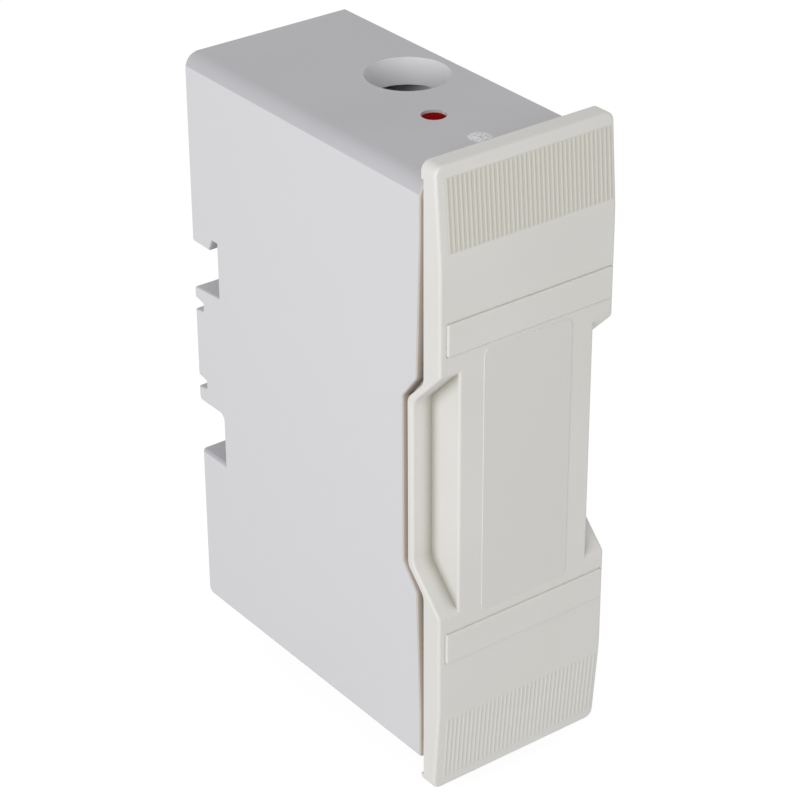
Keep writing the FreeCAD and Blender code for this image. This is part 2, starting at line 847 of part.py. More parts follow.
def rib_comb():
    """One zone of ribs as a strip whose valleys are sunk in the plate, tapered at both ends."""
    first = -rib_pitch * (rib_count - 1) / 2
    edges = []
    cursor = vector(first - rib_pitch / 2, rib_root / 2, 0)
    start = cursor
    for index in range(rib_count):
        x = first + index * rib_pitch
        left = vector(x - rib_width / 2, rib_root / 2, 0)
        right = vector(x + rib_width / 2, rib_root / 2, 0)
        edges.append(Part.LineSegment(cursor, left).toShape())
        edges.append(Part.Arc(left, vector(x, -rib_height, 0), right).toShape())
        cursor = right
    end = vector(-start.x, rib_root / 2, 0)
    floor_end = vector(end.x, rib_root, 0)
    floor_start = vector(start.x, rib_root, 0)
    for low, high in ((cursor, end), (end, floor_end), (floor_end, floor_start), (floor_start, start)):
        edges.append(Part.LineSegment(low, high).toShape())
    comb = Part.Face(Part.Wire(edges)).extrude(vector(0, 0, rib_length))
    envelope = side_prism([(rib_root, 0, 0), (0, 0, 0), (-rib_height, rib_end_taper, 0),
                           (-rib_height, rib_length - rib_end_taper, 0), (0, rib_length, 0),
                           (rib_root, rib_length, 0)],
                          start.x, end.x)
    return comb.common(envelope)


def rib_zones():
    """The two ribbed finger zones, laid on the sloping ends of the face."""
    slope = math.atan2(plate_end_slope, plate_slope_length)
    comb = rib_comb()
    comb.rotate(vector(0, 0, 0), vector(1, 0, 0), -math.degrees(slope))
    low_z = plate_half_height - rib_end_margin - rib_length * math.cos(slope)
    comb.translate(vector(rib_shift, face_depth_at(FACE_MIDDLE + low_z), FACE_MIDDLE + low_z))
    return both_ends(comb, FACE_MIDDLE)


def panel_corners(x_low, x_high, z_middle, height, corner_radius):
    """Front view of a panel as (x, z, radius) corners."""
    return [(x, z_middle + side * height / 2, corner_radius)
            for x, side in ((x_low, -1), (x_high, -1), (x_high, 1), (x_low, 1))]


def raised_panel(corners, rise, edge_radius):
    """A low panel on the carrier's face, with the edge round its front softened."""
    front_y = plate_front_y - rise
    panel = front_prism(corners, front_y, plate_front_y + root_overlap)
    rim = [edge for edge in panel.Edges if edge.BoundBox.YMax < front_y + same_place]
    return panel.makeFillet(edge_radius, rim)


def pads_and_seams():
    """The two pads beside the label, and the narrow seam round the top, left and bottom of each."""
    pads = []
    seams = []
    for side in (1, -1):
        middle = FACE_MIDDLE + side * pad_offset
        corners = panel_corners(pad_left, pad_right, middle, pad_height, pad_corner_radius)
        pads.append(raised_panel(corners, pad_thickness, pad_edge_radius))
        around = panel_corners(pad_left - pad_seam_width, pad_right, middle, pad_height + 2 * pad_seam_width,
                               pad_corner_radius)
        seams.append(front_prism(around, plate_front_y - overrun, plate_front_y + pad_seam_depth))
    return pads, seams


def rooted_in_plate(x_low, x_high, half_height, back_y):
    """Solid that starts inside the plate, also where the plate steps back behind the finger recesses."""
    rooted_y = plate_back_y - root_overlap
    web_middle_y = web_y - web_thickness / 2
    corners = [
        (back_y, MIDDLE - half_height, 0), (rooted_y, MIDDLE - half_height, 0),
        (rooted_y, FACE_MIDDLE - ramp_end, 0), (web_middle_y, FACE_MIDDLE - web_end, 0),
        (web_middle_y, FACE_MIDDLE + web_end, 0), (rooted_y, FACE_MIDDLE + ramp_end, 0),
        (rooted_y, MIDDLE + half_height, 0), (back_y, MIDDLE + half_height, 0),
    ]
    return side_prism(corners, x_low, x_high)


def carrier_frame():
    """Skirt, cheeks, saddles and clip bosses behind the plate."""
    skirt_back_y = FRONT + skirt_depth
    skirt = rounded_slab(carrier_half, MIDDLE, skirt_half_height, carrier_wall, plate_front_y, skirt_back_y)
    skirt = skirt.common(rooted_in_plate(-carrier_half, carrier_half, skirt_half_height, skirt_back_y))
    bottom = plate_front_y + carrier_face_wall
    hollow = rounded_slab(carrier_half - carrier_wall, MIDDLE, skirt_half_height - carrier_wall, 0,
                          bottom, FRONT + cheek_depth)
    inner = carrier_half - carrier_wall
    cheeks = [rooted_in_plate(inner, carrier_half, cheek_half, FRONT + cheek_depth),
              rooted_in_plate(-carrier_half, -inner, cheek_half, FRONT + cheek_depth)]
    saddle = box(-inner, inner, bottom, FRONT + saddle_depth, MIDDLE + saddle_low,
                 MIDDLE + saddle_low + saddle_thickness)
    seat = rod(barrel_radius + saddle_clearance, vector(0, fuse_y, MIDDLE - barrel_half),
               vector(0, fuse_y, MIDDLE + barrel_half))
    boss = box(-clip_boss_width / 2, clip_boss_width / 2, bottom, fuse_y - clip_inner,
               MIDDLE + saddle_low - clip_width, MIDDLE + saddle_low)
    band_seat = rod(clip_outer, vector(0, fuse_y, MIDDLE - barrel_half),
                    vector(0, fuse_y, MIDDLE + barrel_half))
    rests = both_ends(saddle.cut(seat)) + both_ends(boss.cut(band_seat))
    return skirt, hollow, cheeks, rests


def carrier_moulding():
    plate = side_prism(plate_outline(), -plate_half_width, plate_half_width)
    plate = plate.makeFillet(plate_corner_radius, plate_corner_edges(plate))
    plate = plate.makeFillet(plate_edge_radius, plate_rim_edges(plate))
    skirt, hollow, cheeks, rests = carrier_frame()
    pads, seams = pads_and_seams()
    shape = plate.multiFuse([grip_bar(), skirt]).cut(seams).cut(hollow)
    outline = panel_corners(-label_left_reach, label_right_reach, FACE_MIDDLE + label_lift, label_height,
                            label_corner_radius)
    label = raised_panel(outline, label_rise, label_edge_radius)
    return shape.multiFuse(cheeks + rests + pads + [label] + rib_zones())


def fuse_barrel():
    centre = vector(0, fuse_y, MIDDLE - barrel_half)
    top = vector(0, fuse_y, MIDDLE + barrel_half)
    return rod(barrel_radius, centre, top).cut(rod(barrel_bore, centre, top))


def fuse_cap():
    """Cup over one end of the barrel."""
    low = MIDDLE + barrel_half - cap_reach
    face = MIDDLE + barrel_half
    cup = rod(barrel_radius + cap_wall, vector(0, fuse_y, low), vector(0, fuse_y, MIDDLE + cap_top))
    return cup.cut(rod(barrel_radius, vector(0, fuse_y, low - overrun), vector(0, fuse_y, face)))


def fuse_blade():
    """Foot on the cap and the offset blade that enters the jaw."""
    low = MIDDLE + cap_top
    foot = box(blade_x - blade_thickness / 2, blade_x + blade_foot, fuse_y - blade_width / 2,
               fuse_y + blade_width / 2, low, low + blade_foot_thickness)
    blade = box(blade_x - blade_thickness / 2, blade_x + blade_thickness / 2, fuse_y - blade_width / 2,
                fuse_y + blade_width / 2, low, MIDDLE + blade_end)
    return foot.fuse(blade)


def fuse_element():
    """Thin strip from cap to cap, with narrow places where it melts."""
    half = element_width / 2
    strip = box(-half, half, fuse_y - element_thickness / 2, fuse_y + element_thickness / 2,
                MIDDLE - barrel_half, MIDDLE + barrel_half)
    step = barrel_length / (element_notches + 1)
    for index in range(element_notches):
        level = MIDDLE - barrel_half + (index + 1) * step
        for side in (1, -1):
            strip = strip.cut(rod(element_notch, vector(side * half, fuse_y - overrun, level),
                                  vector(side * half, fuse_y + overrun, level)))
    return strip


def fuse_filler():
    """Packed quartz that fills the barrel round the strip."""
    low = vector(0, fuse_y, MIDDLE - barrel_half)
    top = vector(0, fuse_y, MIDDLE + barrel_half)
    slot = box(-element_width / 2 - element_slot, element_width / 2 + element_slot,
               fuse_y - element_thickness / 2 - element_slot, fuse_y + element_thickness / 2 + element_slot,
               low.z - overrun, top.z + overrun)
    return rod(barrel_bore, low, top).cut(slot)


def fuse_clip():
    """Open band of spring steel that holds the barrel on its saddles."""
    low = vector(0, fuse_y, MIDDLE + saddle_low - clip_width)
    top = vector(0, fuse_y, MIDDLE + saddle_low)
    band = rod(clip_outer, low, top).cut(rod(clip_inner, low, top))
    half_angle = math.radians(clip_opening / 2)
    reach = clip_outer * 2
    side_x = reach * math.sin(half_angle)
    side_y = reach * math.cos(half_angle)
    gap = top_prism([(0, fuse_y, 0), (side_x, fuse_y + side_y, 0), (side_x, fuse_y + reach, 0),
                     (-side_x, fuse_y + reach, 0), (-side_x, fuse_y + side_y, 0)],
                    low.z - overrun, top.z + overrun)
    return band.cut(gap)


def save(name, shape):
    shape = shape.removeSplitter()
    sound = shape.isValid() and all(solid.Volume > 0 for solid in shape.Solids)
    shape.exportStep("parts/" + name + ".step")
    print(name, len(shape.Solids), "solids", round(shape.Volume, 1), "mm3", "sound" if sound else "FAULTY")


def main():
    os.makedirs("parts", exist_ok=True)
    save("base_housing", base_housing())
    for name, shape in (("contact", contact(tongue_reach)), ("jaw_spring", jaw_spring()),
                        ("terminal_cage", terminal_cage()), ("terminal_screw", terminal_screw()),
                        ("terminal_shroud", terminal_shroud()),
                        ("fuse_cap", fuse_cap()), ("fuse_blade", fuse_blade())):
        upper, lower = both_ends(shape)
        save(name + "_top", upper)
        save(name + "_bottom", lower)
    save("contact_screws", Part.makeCompound(both_ends(contact_screw())))
    save("rail_latch", rail_latch())
    save("rail_latch_spring", rail_latch_spring())
    save("indicator_lens", indicator_lens())
    save("indicator_lamp", indicator_lamp())
    save("indicator_resistor", indicator_resistor())
    save("indicator_leads", indicator_leads())
    save("carrier_moulding", carrier_moulding())
    save("fuse_barrel", fuse_barrel())
    save("fuse_element", fuse_element())
    save("fuse_filler", fuse_filler())
    save("fuse_retaining_clips", Part.makeCompound(both_ends(fuse_clip())))


main()
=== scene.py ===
"""DIN rail fuse holder: finishes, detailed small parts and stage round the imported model, in metres."""

import json
import logging
import math
from collections.abc import Sequence
from dataclasses import dataclass
from enum import Enum

import bmesh
import bpy
from bpy.types import Material, Node, NodeSocket, NodeTree, Object
from mathutils import Matrix, Quaternion, Vector


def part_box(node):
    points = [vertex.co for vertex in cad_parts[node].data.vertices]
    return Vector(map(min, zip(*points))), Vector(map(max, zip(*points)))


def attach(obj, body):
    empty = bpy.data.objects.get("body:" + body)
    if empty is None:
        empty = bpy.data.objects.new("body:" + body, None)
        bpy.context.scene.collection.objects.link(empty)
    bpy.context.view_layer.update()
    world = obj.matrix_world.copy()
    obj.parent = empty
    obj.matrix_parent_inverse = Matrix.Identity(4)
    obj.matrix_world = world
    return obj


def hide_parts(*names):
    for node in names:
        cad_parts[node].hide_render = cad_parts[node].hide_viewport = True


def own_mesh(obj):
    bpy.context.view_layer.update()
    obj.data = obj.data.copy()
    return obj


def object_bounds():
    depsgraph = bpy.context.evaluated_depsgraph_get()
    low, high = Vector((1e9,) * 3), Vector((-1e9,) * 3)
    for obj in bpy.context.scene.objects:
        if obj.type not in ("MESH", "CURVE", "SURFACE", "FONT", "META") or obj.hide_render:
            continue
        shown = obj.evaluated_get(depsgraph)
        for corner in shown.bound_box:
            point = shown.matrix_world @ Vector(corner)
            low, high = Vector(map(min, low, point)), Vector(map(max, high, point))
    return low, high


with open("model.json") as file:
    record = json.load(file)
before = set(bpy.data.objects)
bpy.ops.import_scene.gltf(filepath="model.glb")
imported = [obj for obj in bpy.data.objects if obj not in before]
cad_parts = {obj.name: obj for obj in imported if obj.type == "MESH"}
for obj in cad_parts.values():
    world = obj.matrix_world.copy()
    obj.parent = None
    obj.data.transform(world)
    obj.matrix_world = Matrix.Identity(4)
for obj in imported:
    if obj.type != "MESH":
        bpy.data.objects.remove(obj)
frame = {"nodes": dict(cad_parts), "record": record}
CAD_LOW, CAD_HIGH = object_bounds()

LOG = logging.getLogger("fuse_holder")

MM = 0.001
NEAR = 0.05 * MM  # Points of a solid that differ by less are taken as level with each other.
NOISE_RANGE = {"From Min": 0.3, "From Max": 0.7}  # The span that noise hardly leaves.
WHITE = (1.0, 1.0, 1.0, 1.0)

Colour = tuple[float, float, float, float]
Point = tuple[float, float, float]
Span = tuple[float, float]


class Body(Enum):
    """The moving bodies that pieces ride on."""

    BASE = "base"
    CARRIER = "carrier"
    SCREW_TOP = "terminal_screw_top"
    SCREW_BOTTOM = "terminal_screw_bottom"


class Slot(Enum):
    """The record's material slots by name; no new piece takes its finish from them here."""

    LENS = "lens_plastic"
    GLASS = "lamp_glass"
    WIRE = "tinned_wire"
    SPRING = "spring_steel"
    ZINC = "zinc_steel"
    SILVERED = "silvered_copper"


class End(Enum):
    """The holder's two ends, which are built alike."""

    TOP = "top"
    BOTTOM = "bottom"


class Axis(Enum):
    """The axis that a round node is turned about."""

    Y = 1
    Z = 2


class Kind(Enum):
    """The shader nodes that the finishes use."""

    ADD_SHADER = "ShaderNodeAddShader"
    BACKGROUND = "ShaderNodeBackground"
    BUMP = "ShaderNodeBump"
    CELLS = "ShaderNodeTexVoronoi"
    COMBINE = "ShaderNodeCombineXYZ"
    COORDINATES = "ShaderNodeTexCoord"
    DIFFUSE = "ShaderNodeBsdfDiffuse"
    EMISSION = "ShaderNodeEmission"
    LIGHT_PATH = "ShaderNodeLightPath"
    MAPPING = "ShaderNodeMapping"
    MATERIAL_OUTPUT = "ShaderNodeOutputMaterial"
    MATH = "ShaderNodeMath"
    MIX = "ShaderNodeMix"
    NOISE = "ShaderNodeTexNoise"
    OCCLUSION = "ShaderNodeAmbientOcclusion"
    RAMP = "ShaderNodeValToRGB"
    RANGE = "ShaderNodeMapRange"
    SEPARATE = "ShaderNodeSeparateXYZ"
    SEPARATE_COLOUR = "ShaderNodeSeparateColor"
    SURFACE = "ShaderNodeBsdfPrincipled"
    VECTOR_MATH = "ShaderNodeVectorMath"
    WORLD_OUTPUT = "ShaderNodeOutputWorld"


def linear(code: str) -> Colour:
    """Turns an sRGB hex code into a linear colour.

    Args:
        code: Six hex digits after a hash.

    Returns:
        Red, green, blue and full opacity, from 0 to 1.
    """
    channels = []
    for start in (1, 3, 5):
        value = int(code[start:start + 2], 16) / 255
        channels.append(value / 12.92 if value <= 0.04045 else ((value + 0.055) / 1.055) ** 2.4)
    return (channels[0], channels[1], channels[2], 1.0)


def per_metre(size_mm: float) -> float:
    """Scale, for places in metres, at which one feature of a pattern is as wide as a real size."""
    return 1 / (size_mm * MM)


def span(end: str, values: Span) -> dict[str, float]:
    """The two inputs that hold the ends of a span, such as From Min and From Max, with their values."""
    return {end + " Min": values[0], end + " Max": values[1]}


def add_node(tree: NodeTree, kind: Kind, inputs: dict[str | int, object] | None = None, **settings: object) -> Node:
    """Adds a node with its settings and links.

    Args:
        tree: Node tree that takes the node.
        kind: What the node is.
        inputs: Name of an input, or its number where two share a name, to its value, to the socket that feeds
            it, or to the node whose first output feeds it.
        **settings: The node's own properties.

    Returns:
        The new node.
    """
    node = tree.nodes.new(kind.value)
    for name, value in settings.items():
        setattr(node, name, value)
    for key, value in (inputs or {}).items():
        socket = node.inputs[key] if isinstance(key, int) else next(
            entry for entry in node.inputs if entry.enabled and entry.name == key)
        if isinstance(value, Node):
            value = next(entry for entry in value.outputs if entry.enabled)
        if isinstance(value, NodeSocket):
            tree.links.new(value, socket)
        else:
            socket.default_value = value
    return node


def blank_material(name: str) -> tuple[Material, NodeTree, NodeSocket]:
    """Makes a material with a node tree that holds only its coordinates.

    Args:
        name: Name of the material.

    Returns:
        The material, its tree, and the coordinates in metres that stay with the piece as it moves.
    """
    material = bpy.data.materials.new(name)
    material.use_nodes = True
    tree = material.node_tree
    tree.nodes.clear()
    return material, tree, add_node(tree, Kind.COORDINATES).outputs["Object"]


@dataclass(frozen=True)
class Zone:
    """A box round a part of a surface that carries a mark, with a border over which the mark fades."""

    low: Point
    high: Point
    fade_mm: float

    def mask(self, tree: NodeTree, place: object, strength: object = 1.0) -> Node:
        """Strength of the mark, which is 0 outside the zone.

        Args:
            tree: Node tree that takes the nodes.
            place: Coordinates in metres.
            strength: How strong the mark is inside the zone, as a value or a mask that it multiplies.

        Returns:
            Node that gives the strength.
        """
        low, high = Vector(self.low), Vector(self.high)
        away = add_node(tree, Kind.VECTOR_MATH, {0: place, 1: (low + high) / 2}, operation="SUBTRACT")
        away = add_node(tree, Kind.VECTOR_MATH, {0: away}, operation="ABSOLUTE")
        away = add_node(tree, Kind.VECTOR_MATH, {0: away, 1: (high - low) / 2}, operation="SUBTRACT")
        axes = add_node(tree, Kind.SEPARATE, {"Vector": away})
        wide = add_node(tree, Kind.MATH, {0: axes.outputs["X"], 1: axes.outputs["Y"]}, operation="MAXIMUM")
        far = add_node(tree, Kind.MATH, {0: wide, 1: axes.outputs["Z"]}, operation="MAXIMUM")
        return add_node(tree, Kind.RANGE, {"Value": far, "From Min": 0.0, "From Max": self.fade_mm * MM,
                                           "To Min": strength, "To Max": 0.0})

    def paint(self, tree: NodeTree, place: object, skin: object, tone: object, strength: object = 1.0) -> Node:
        """Lays a tone over a skin as strongly as the mask says; both are colours or nodes that give them."""
        return add_node(tree, Kind.MIX, {"Factor": self.mask(tree, place, strength), "A": skin, "B": tone},
                        data_type="RGBA")


@dataclass(frozen=True)
class MouldedPlastic:
    """Flame-retardant thermoplastic from a finely spark-eroded mould."""

    # The eroded mould leaves a soft, even satin; flow in the cavity leaves faint broad bands of tone. The real
    # grain is about 0.05 mm and wouldn't show, so it is drawn 0.35 mm wide and very shallow.
    name: str
    tone: str
    flow_tone: str
    roughness: float
    roughness_spread: float = 0.05
    ior: float = 1.53
    grain_mm: float = 0.35
    grain_depth_mm: float = 0.006
    ripple_mm: float = 7.0
    ripple_depth_mm: float = 0.02
    flow_mm: float = 22.0

    def colour(self, tree: NodeTree, place: NodeSocket) -> Node:
        """Colour of the plastic with its flow bands.

        Args:
            tree: Node tree that takes the nodes.
            place: Coordinates in metres.

        Returns:
            Node that gives the colour.
        """
        flow = add_node(tree, Kind.NOISE, {"Vector": place, "Scale": per_metre(self.flow_mm), "Detail": 1.0})
        bands = add_node(tree, Kind.RANGE, {"Value": flow, **NOISE_RANGE})
        return add_node(tree, Kind.MIX, {"Factor": bands, "A": linear(self.tone), "B": linear(self.flow_tone)},
                        data_type="RGBA")

    def build(self) -> Material:
        """Builds the material.

        Returns:
            The finished material.
        """
        material, tree, place = blank_material(self.name)
        grain = add_node(tree, Kind.NOISE, {"Vector": place, "Scale": per_metre(self.grain_mm), "Detail": 3.0})
        ripple = add_node(tree, Kind.NOISE, {"Vector": place, "Scale": per_metre(self.ripple_mm), "Detail": 1.0})
        waves = add_node(tree, Kind.BUMP, {"Height": ripple, "Distance": self.ripple_depth_mm * MM})
        skin = add_node(tree, Kind.BUMP, {"Height": grain, "Distance": self.grain_depth_mm * MM, "Normal": waves})
        gloss = add_node(tree, Kind.RANGE, {"Value": grain, **NOISE_RANGE,
                                            "To Min": self.roughness - self.roughness_spread,
                                            "To Max": self.roughness + self.roughness_spread})
        shader = add_node(tree, Kind.SURFACE, {"Base Color": self.colour(tree, place), "Roughness": gloss,
                                               "IOR": self.ior, "Normal": skin})
        add_node(tree, Kind.MATERIAL_OUTPUT, {"Surface": shader})
        return material


@dataclass(frozen=True, kw_only=True)
class ShellPlastic(MouldedPlastic):
    """The base's plastic, with its gate mark, painted light on its sides and in its bore, and painted shade in its
    front gap.
    """

    # The long sides are painted paler than the top, as painted light from the lamp at the side. The bore of the
    # cable entry is painted paler too, as painted light inside it, and the twisted-off gate is paler. The front rim
    # where the carrier's plate stands over it has a painted warm shade that deepens to a painted shadow beside the
    # plate. Each turn is the span of the surface's direction along one axis over which it comes to count as a side,
    # as level or as no longer looking forward.
    bore: Zone
    gate: Zone
    gap_shade: Zone
    rim_back: float
    rim_fade_mm: float = 0.2
    side_light_turn: Span = (0.975, 0.985)
    level_turn: Span = (0.5, 0.6)
    front_turn: Span = (-0.8, -0.4)
    side_light_tone: str = "#D8D8DB"
    bore_light_tone: str = "#F3F3F5"
    gate_tone: str = "#E6E6E7"
    gate_pit_tone: str = "#BFBFC1"
    gate_pit_mm: float = 0.32
    gate_pit_range: Span = (0.42, 0.5)
    rim_warm_shade_tone: str = "#D6CBC0"
    gap_shadow_tone: str = "#7A6757"

    def colour(self, tree: NodeTree, place: NodeSocket) -> Node:
        """Colour of the plastic with its gate mark and its painted light and shade.

        Args:
            tree: Node tree that takes the nodes.
            place: Coordinates in metres.

        Returns:
            Node that gives the colour.
        """
        facing = add_node(tree, Kind.SEPARATE, {"Vector": add_node(tree, Kind.COORDINATES).outputs["Normal"]})
        skin = self.lit_sides_bore_and_gate(tree, place, facing, super().colour(tree, place))
        return self.shaded_front_rim(tree, place, facing, skin)

    def lit_sides_bore_and_gate(self, tree: NodeTree, place: NodeSocket, facing: Node, skin: Node) -> Node:
        """Colour of the long sides and the bore, painted paler as painted light, and of the gate, over the plain
        skin.

        Args:
            tree: Node tree that takes the nodes.
            place: Coordinates in metres.
            facing: The surface's direction, split by axis.
            skin: Colour of the rest.

        Returns:
            Node that gives the colour.
        """
        # Painted light: the flat long sides are painted paler than the top, and the sharp turn leaves the rounds
        # along the top edges a darker band.
        sideways = add_node(tree, Kind.MATH, {0: facing.outputs["X"]}, operation="ABSOLUTE")
        side_light = add_node(tree, Kind.RANGE, {"Value": sideways, **span("From", self.side_light_turn)})
        skin = add_node(tree, Kind.MIX, {"Factor": side_light, "A": skin, "B": linear(self.side_light_tone)},
                        data_type="RGBA")
        upright = add_node(tree, Kind.RANGE, {"Value": facing.outputs["Z"], **span("From", self.level_turn),
                                              **span("To", (1.0, 0.0))})
        # Painted light: the bore's wall is painted paler, standing in for light that reaches down into the cable
        # entry.
        skin = self.bore.paint(tree, place, skin, linear(self.bore_light_tone), upright)
        pits = add_node(tree, Kind.NOISE, {"Vector": place, "Scale": per_metre(self.gate_pit_mm), "Detail": 2.0})
        pitted = add_node(tree, Kind.RANGE, {"Value": pits, **span("From", self.gate_pit_range)})
        torn = add_node(tree, Kind.MIX, {"Factor": pitted, "A": linear(self.gate_pit_tone),
                                         "B": linear(self.gate_tone)}, data_type="RGBA")
        return self.gate.paint(tree, place, skin, torn)

    def shaded_front_rim(self, tree: NodeTree, place: NodeSocket, facing: Node, skin: Node) -> Node:
        """Colour of the front rim, with a painted warm shade and a painted shadow beside the carrier's plate, over
        the plain skin.

        Args:
            tree: Node tree that takes the nodes.
            place: Coordinates in metres.
            facing: The surface's direction, split by axis.
            skin: Colour of the rest.

        Returns:
            Node that gives the colour.
        """
        axes = add_node(tree, Kind.SEPARATE, {"Vector": place})
        forward = add_node(tree, Kind.RANGE, {"Value": facing.outputs["Y"], **span("From", self.front_turn),
                                              **span("To", (1.0, 0.0))})
        # Painted shade: the forward-facing rim takes a warm shade tone, which darkens inward to a painted shadow
        # under the carrier's plate.
        rim_shade = add_node(tree, Kind.RANGE, {"Value": axes.outputs["Y"], "From Min": self.rim_back,
                                             "From Max": self.rim_back + self.rim_fade_mm * MM,
                                             "To Min": forward, "To Max": 0.0})
        rim = self.gap_shade.paint(tree, place, linear(self.rim_warm_shade_tone), linear(self.gap_shadow_tone))
        return add_node(tree, Kind.MIX, {"Factor": rim_shade, "A": skin, "B": rim}, data_type="RGBA")


@dataclass(frozen=True, kw_only=True)
class GrippedPlastic(MouldedPlastic):
    """The carrier's plastic, with handling marks and painted groove shade on its ribs, painted light on its pad seams
    and painted shade in its finger recesses.
    """

    # The ribbed ends are painted darker and yellower, the upper one the most: partly yellowing from fingers and
    # partly painted shade of the grooves. The inner corners of the two recesses beside the grip carry a painted
    # grey-green shade; the bare panel on its face has a duller, slightly darker skin. The walls of the seams round
    # the two pads are painted pale, as painted light that lifts their shade.
    face_middle: float
    ribs: Zone
    seams: Zone
    panel: Zone
    recess: Zone
    rib_wear_and_shade_tone: str = "#D2D0C6"
    low_rib_share: float = 0.3
    seam_light_tone: str = "#F6F5F1"
    panel_tone: str = "#DDDBD7"
    corner_shade_tone: str = "#9C9A8B"
    corner_shade_reach_mm: float = 2.2
    corner_shade_share: float = 0.8
    corner_shade_openness: Span = (0.5, 0.95)

    def colour(self, tree: NodeTree, place: NodeSocket) -> Node:
        """Colour of the plastic with the marks of handling and its painted light and shade.

        Args:
            tree: Node tree that takes the nodes.
            place: Coordinates in metres.

        Returns:
            Node that gives the colour.
        """
        axes = add_node(tree, Kind.SEPARATE, {"Vector": place})
        lifted = add_node(tree, Kind.MATH, {0: axes.outputs["Z"], 1: self.face_middle}, operation="SUBTRACT")
        height = add_node(tree, Kind.MATH, {0: lifted}, operation="ABSOLUTE")
        folded = add_node(tree, Kind.COMBINE, {"X": axes.outputs["X"], "Y": axes.outputs["Y"], "Z": height})
        # Partly wear and partly painted shade: the rib zones take a darker, yellower tone, the lower ribs less of it.
        rib_wear_and_shade = add_node(tree, Kind.RANGE, {"Value": lifted, "From Min": 0.0, "From Max": 1.0 * MM,
                                              "To Min": self.low_rib_share, "To Max": 1.0})
        skin = self.ribs.paint(tree, folded, super().colour(tree, place), linear(self.rib_wear_and_shade_tone), rib_wear_and_shade)
        # Painted light: the seam walls round the pads are painted pale, so that the shade in them comes out lighter.
        skin = self.seams.paint(tree, folded, skin, linear(self.seam_light_tone))
        skin = self.panel.paint(tree, place, skin, linear(self.panel_tone))
        # Painted shade: the inner corners of the recesses take a grey-green tone, stronger the more the surface is
        # closed in.
        openness = add_node(tree, Kind.OCCLUSION, {"Distance": self.corner_shade_reach_mm * MM}, only_local=True,
                            samples=8)
        corner = add_node(tree, Kind.RANGE, {"Value": openness.outputs["AO"], **span("From", self.corner_shade_openness),
                                             **span("To", (self.corner_shade_share, 0.0))})
        out = add_node(tree, Kind.MATH, {0: axes.outputs["X"]}, operation="ABSOLUTE")
        mirrored = add_node(tree, Kind.COMBINE, {"X": out, "Y": axes.outputs["Y"], "Z": height})
        return self.recess.paint(tree, mirrored, skin, linear(self.corner_shade_tone), corner)


@dataclass(frozen=True)
class MouldedLens:
    """Clear polycarbonate dyed red, polished in the mould."""

    # The dye is so deep that light from inside comes back dark red. The photograph shows hardly any sheen on it,
    # so the surface reflects less than clean polycarbonate would.
    name: str = "dyed_polycarbonate_lens"
    tone: str = "#920202"
    deep_tone: str = "#6C0206"
    deep_share: float = 0.5
    ior: float = 1.02
    cloud_mm: float = 1.2
    polish_mm: float = 0.3
    roughness: Span = (0.06, 0.16)

    def build(self) -> Material:
        """Builds the material.

        Returns:
            The finished material.
        """
        material, tree, place = blank_material(self.name)
        clouds = add_node(tree, Kind.NOISE, {"Vector": place, "Scale": per_metre(self.cloud_mm), "Detail": 1.0})
        depth = add_node(tree, Kind.RANGE, {"Value": clouds, **NOISE_RANGE, "To Max": self.deep_share})
        dye = add_node(tree, Kind.MIX, {"Factor": depth, "A": linear(self.tone), "B": linear(self.deep_tone)},
                       data_type="RGBA")
        polish = add_node(tree, Kind.NOISE, {"Vector": place, "Scale": per_metre(self.polish_mm)})
        gloss = add_node(tree, Kind.RANGE, {"Value": polish, **span("To", self.roughness)})
        shader = add_node(tree, Kind.SURFACE, {"Base Color": dye, "Roughness": gloss, "IOR": self.ior})
        add_node(tree, Kind.MATERIAL_OUTPUT, {"Surface": shader})
        return material


@dataclass(frozen=True)
class DrawnGlass:
    """Drawn soda-lime glass of the neon lamp."""

    # Clear, with faint draw lines along the tube that bend the highlights. Real lines are some 0.05 mm apart
    # and are drawn 0.4 mm apart to show.
    name: str = "drawn_soda_lime_glass"
    tone: str = "#F2F5F3"
    roughness: float = 0.03
    ior: float = 1.51
    line_mm: float = 0.4
    line_depth_mm: float = 0.002
    draw: Point = (1.0, 1.0, 0.08)

    def build(self) -> Material:
        """Builds the material.

        Returns:
            The finished material.
        """
        material, tree, place = blank_material(self.name)
        drawn = add_node(tree, Kind.MAPPING, {"Vector": place, "Scale": self.draw})
        lines = add_node(tree, Kind.NOISE, {"Vector": drawn, "Scale": per_metre(self.line_mm), "Detail": 1.0})
        ridges = add_node(tree, Kind.BUMP, {"Height": lines, "Distance": self.line_depth_mm * MM})
        shader = add_node(tree, Kind.SURFACE, {"Base Color": linear(self.tone), "Roughness": self.roughness,
                                               "IOR": self.ior, "Transmission Weight": 1.0, "Normal": ridges})
        add_node(tree, Kind.MATERIAL_OUTPUT, {"Surface": shader})
        return material


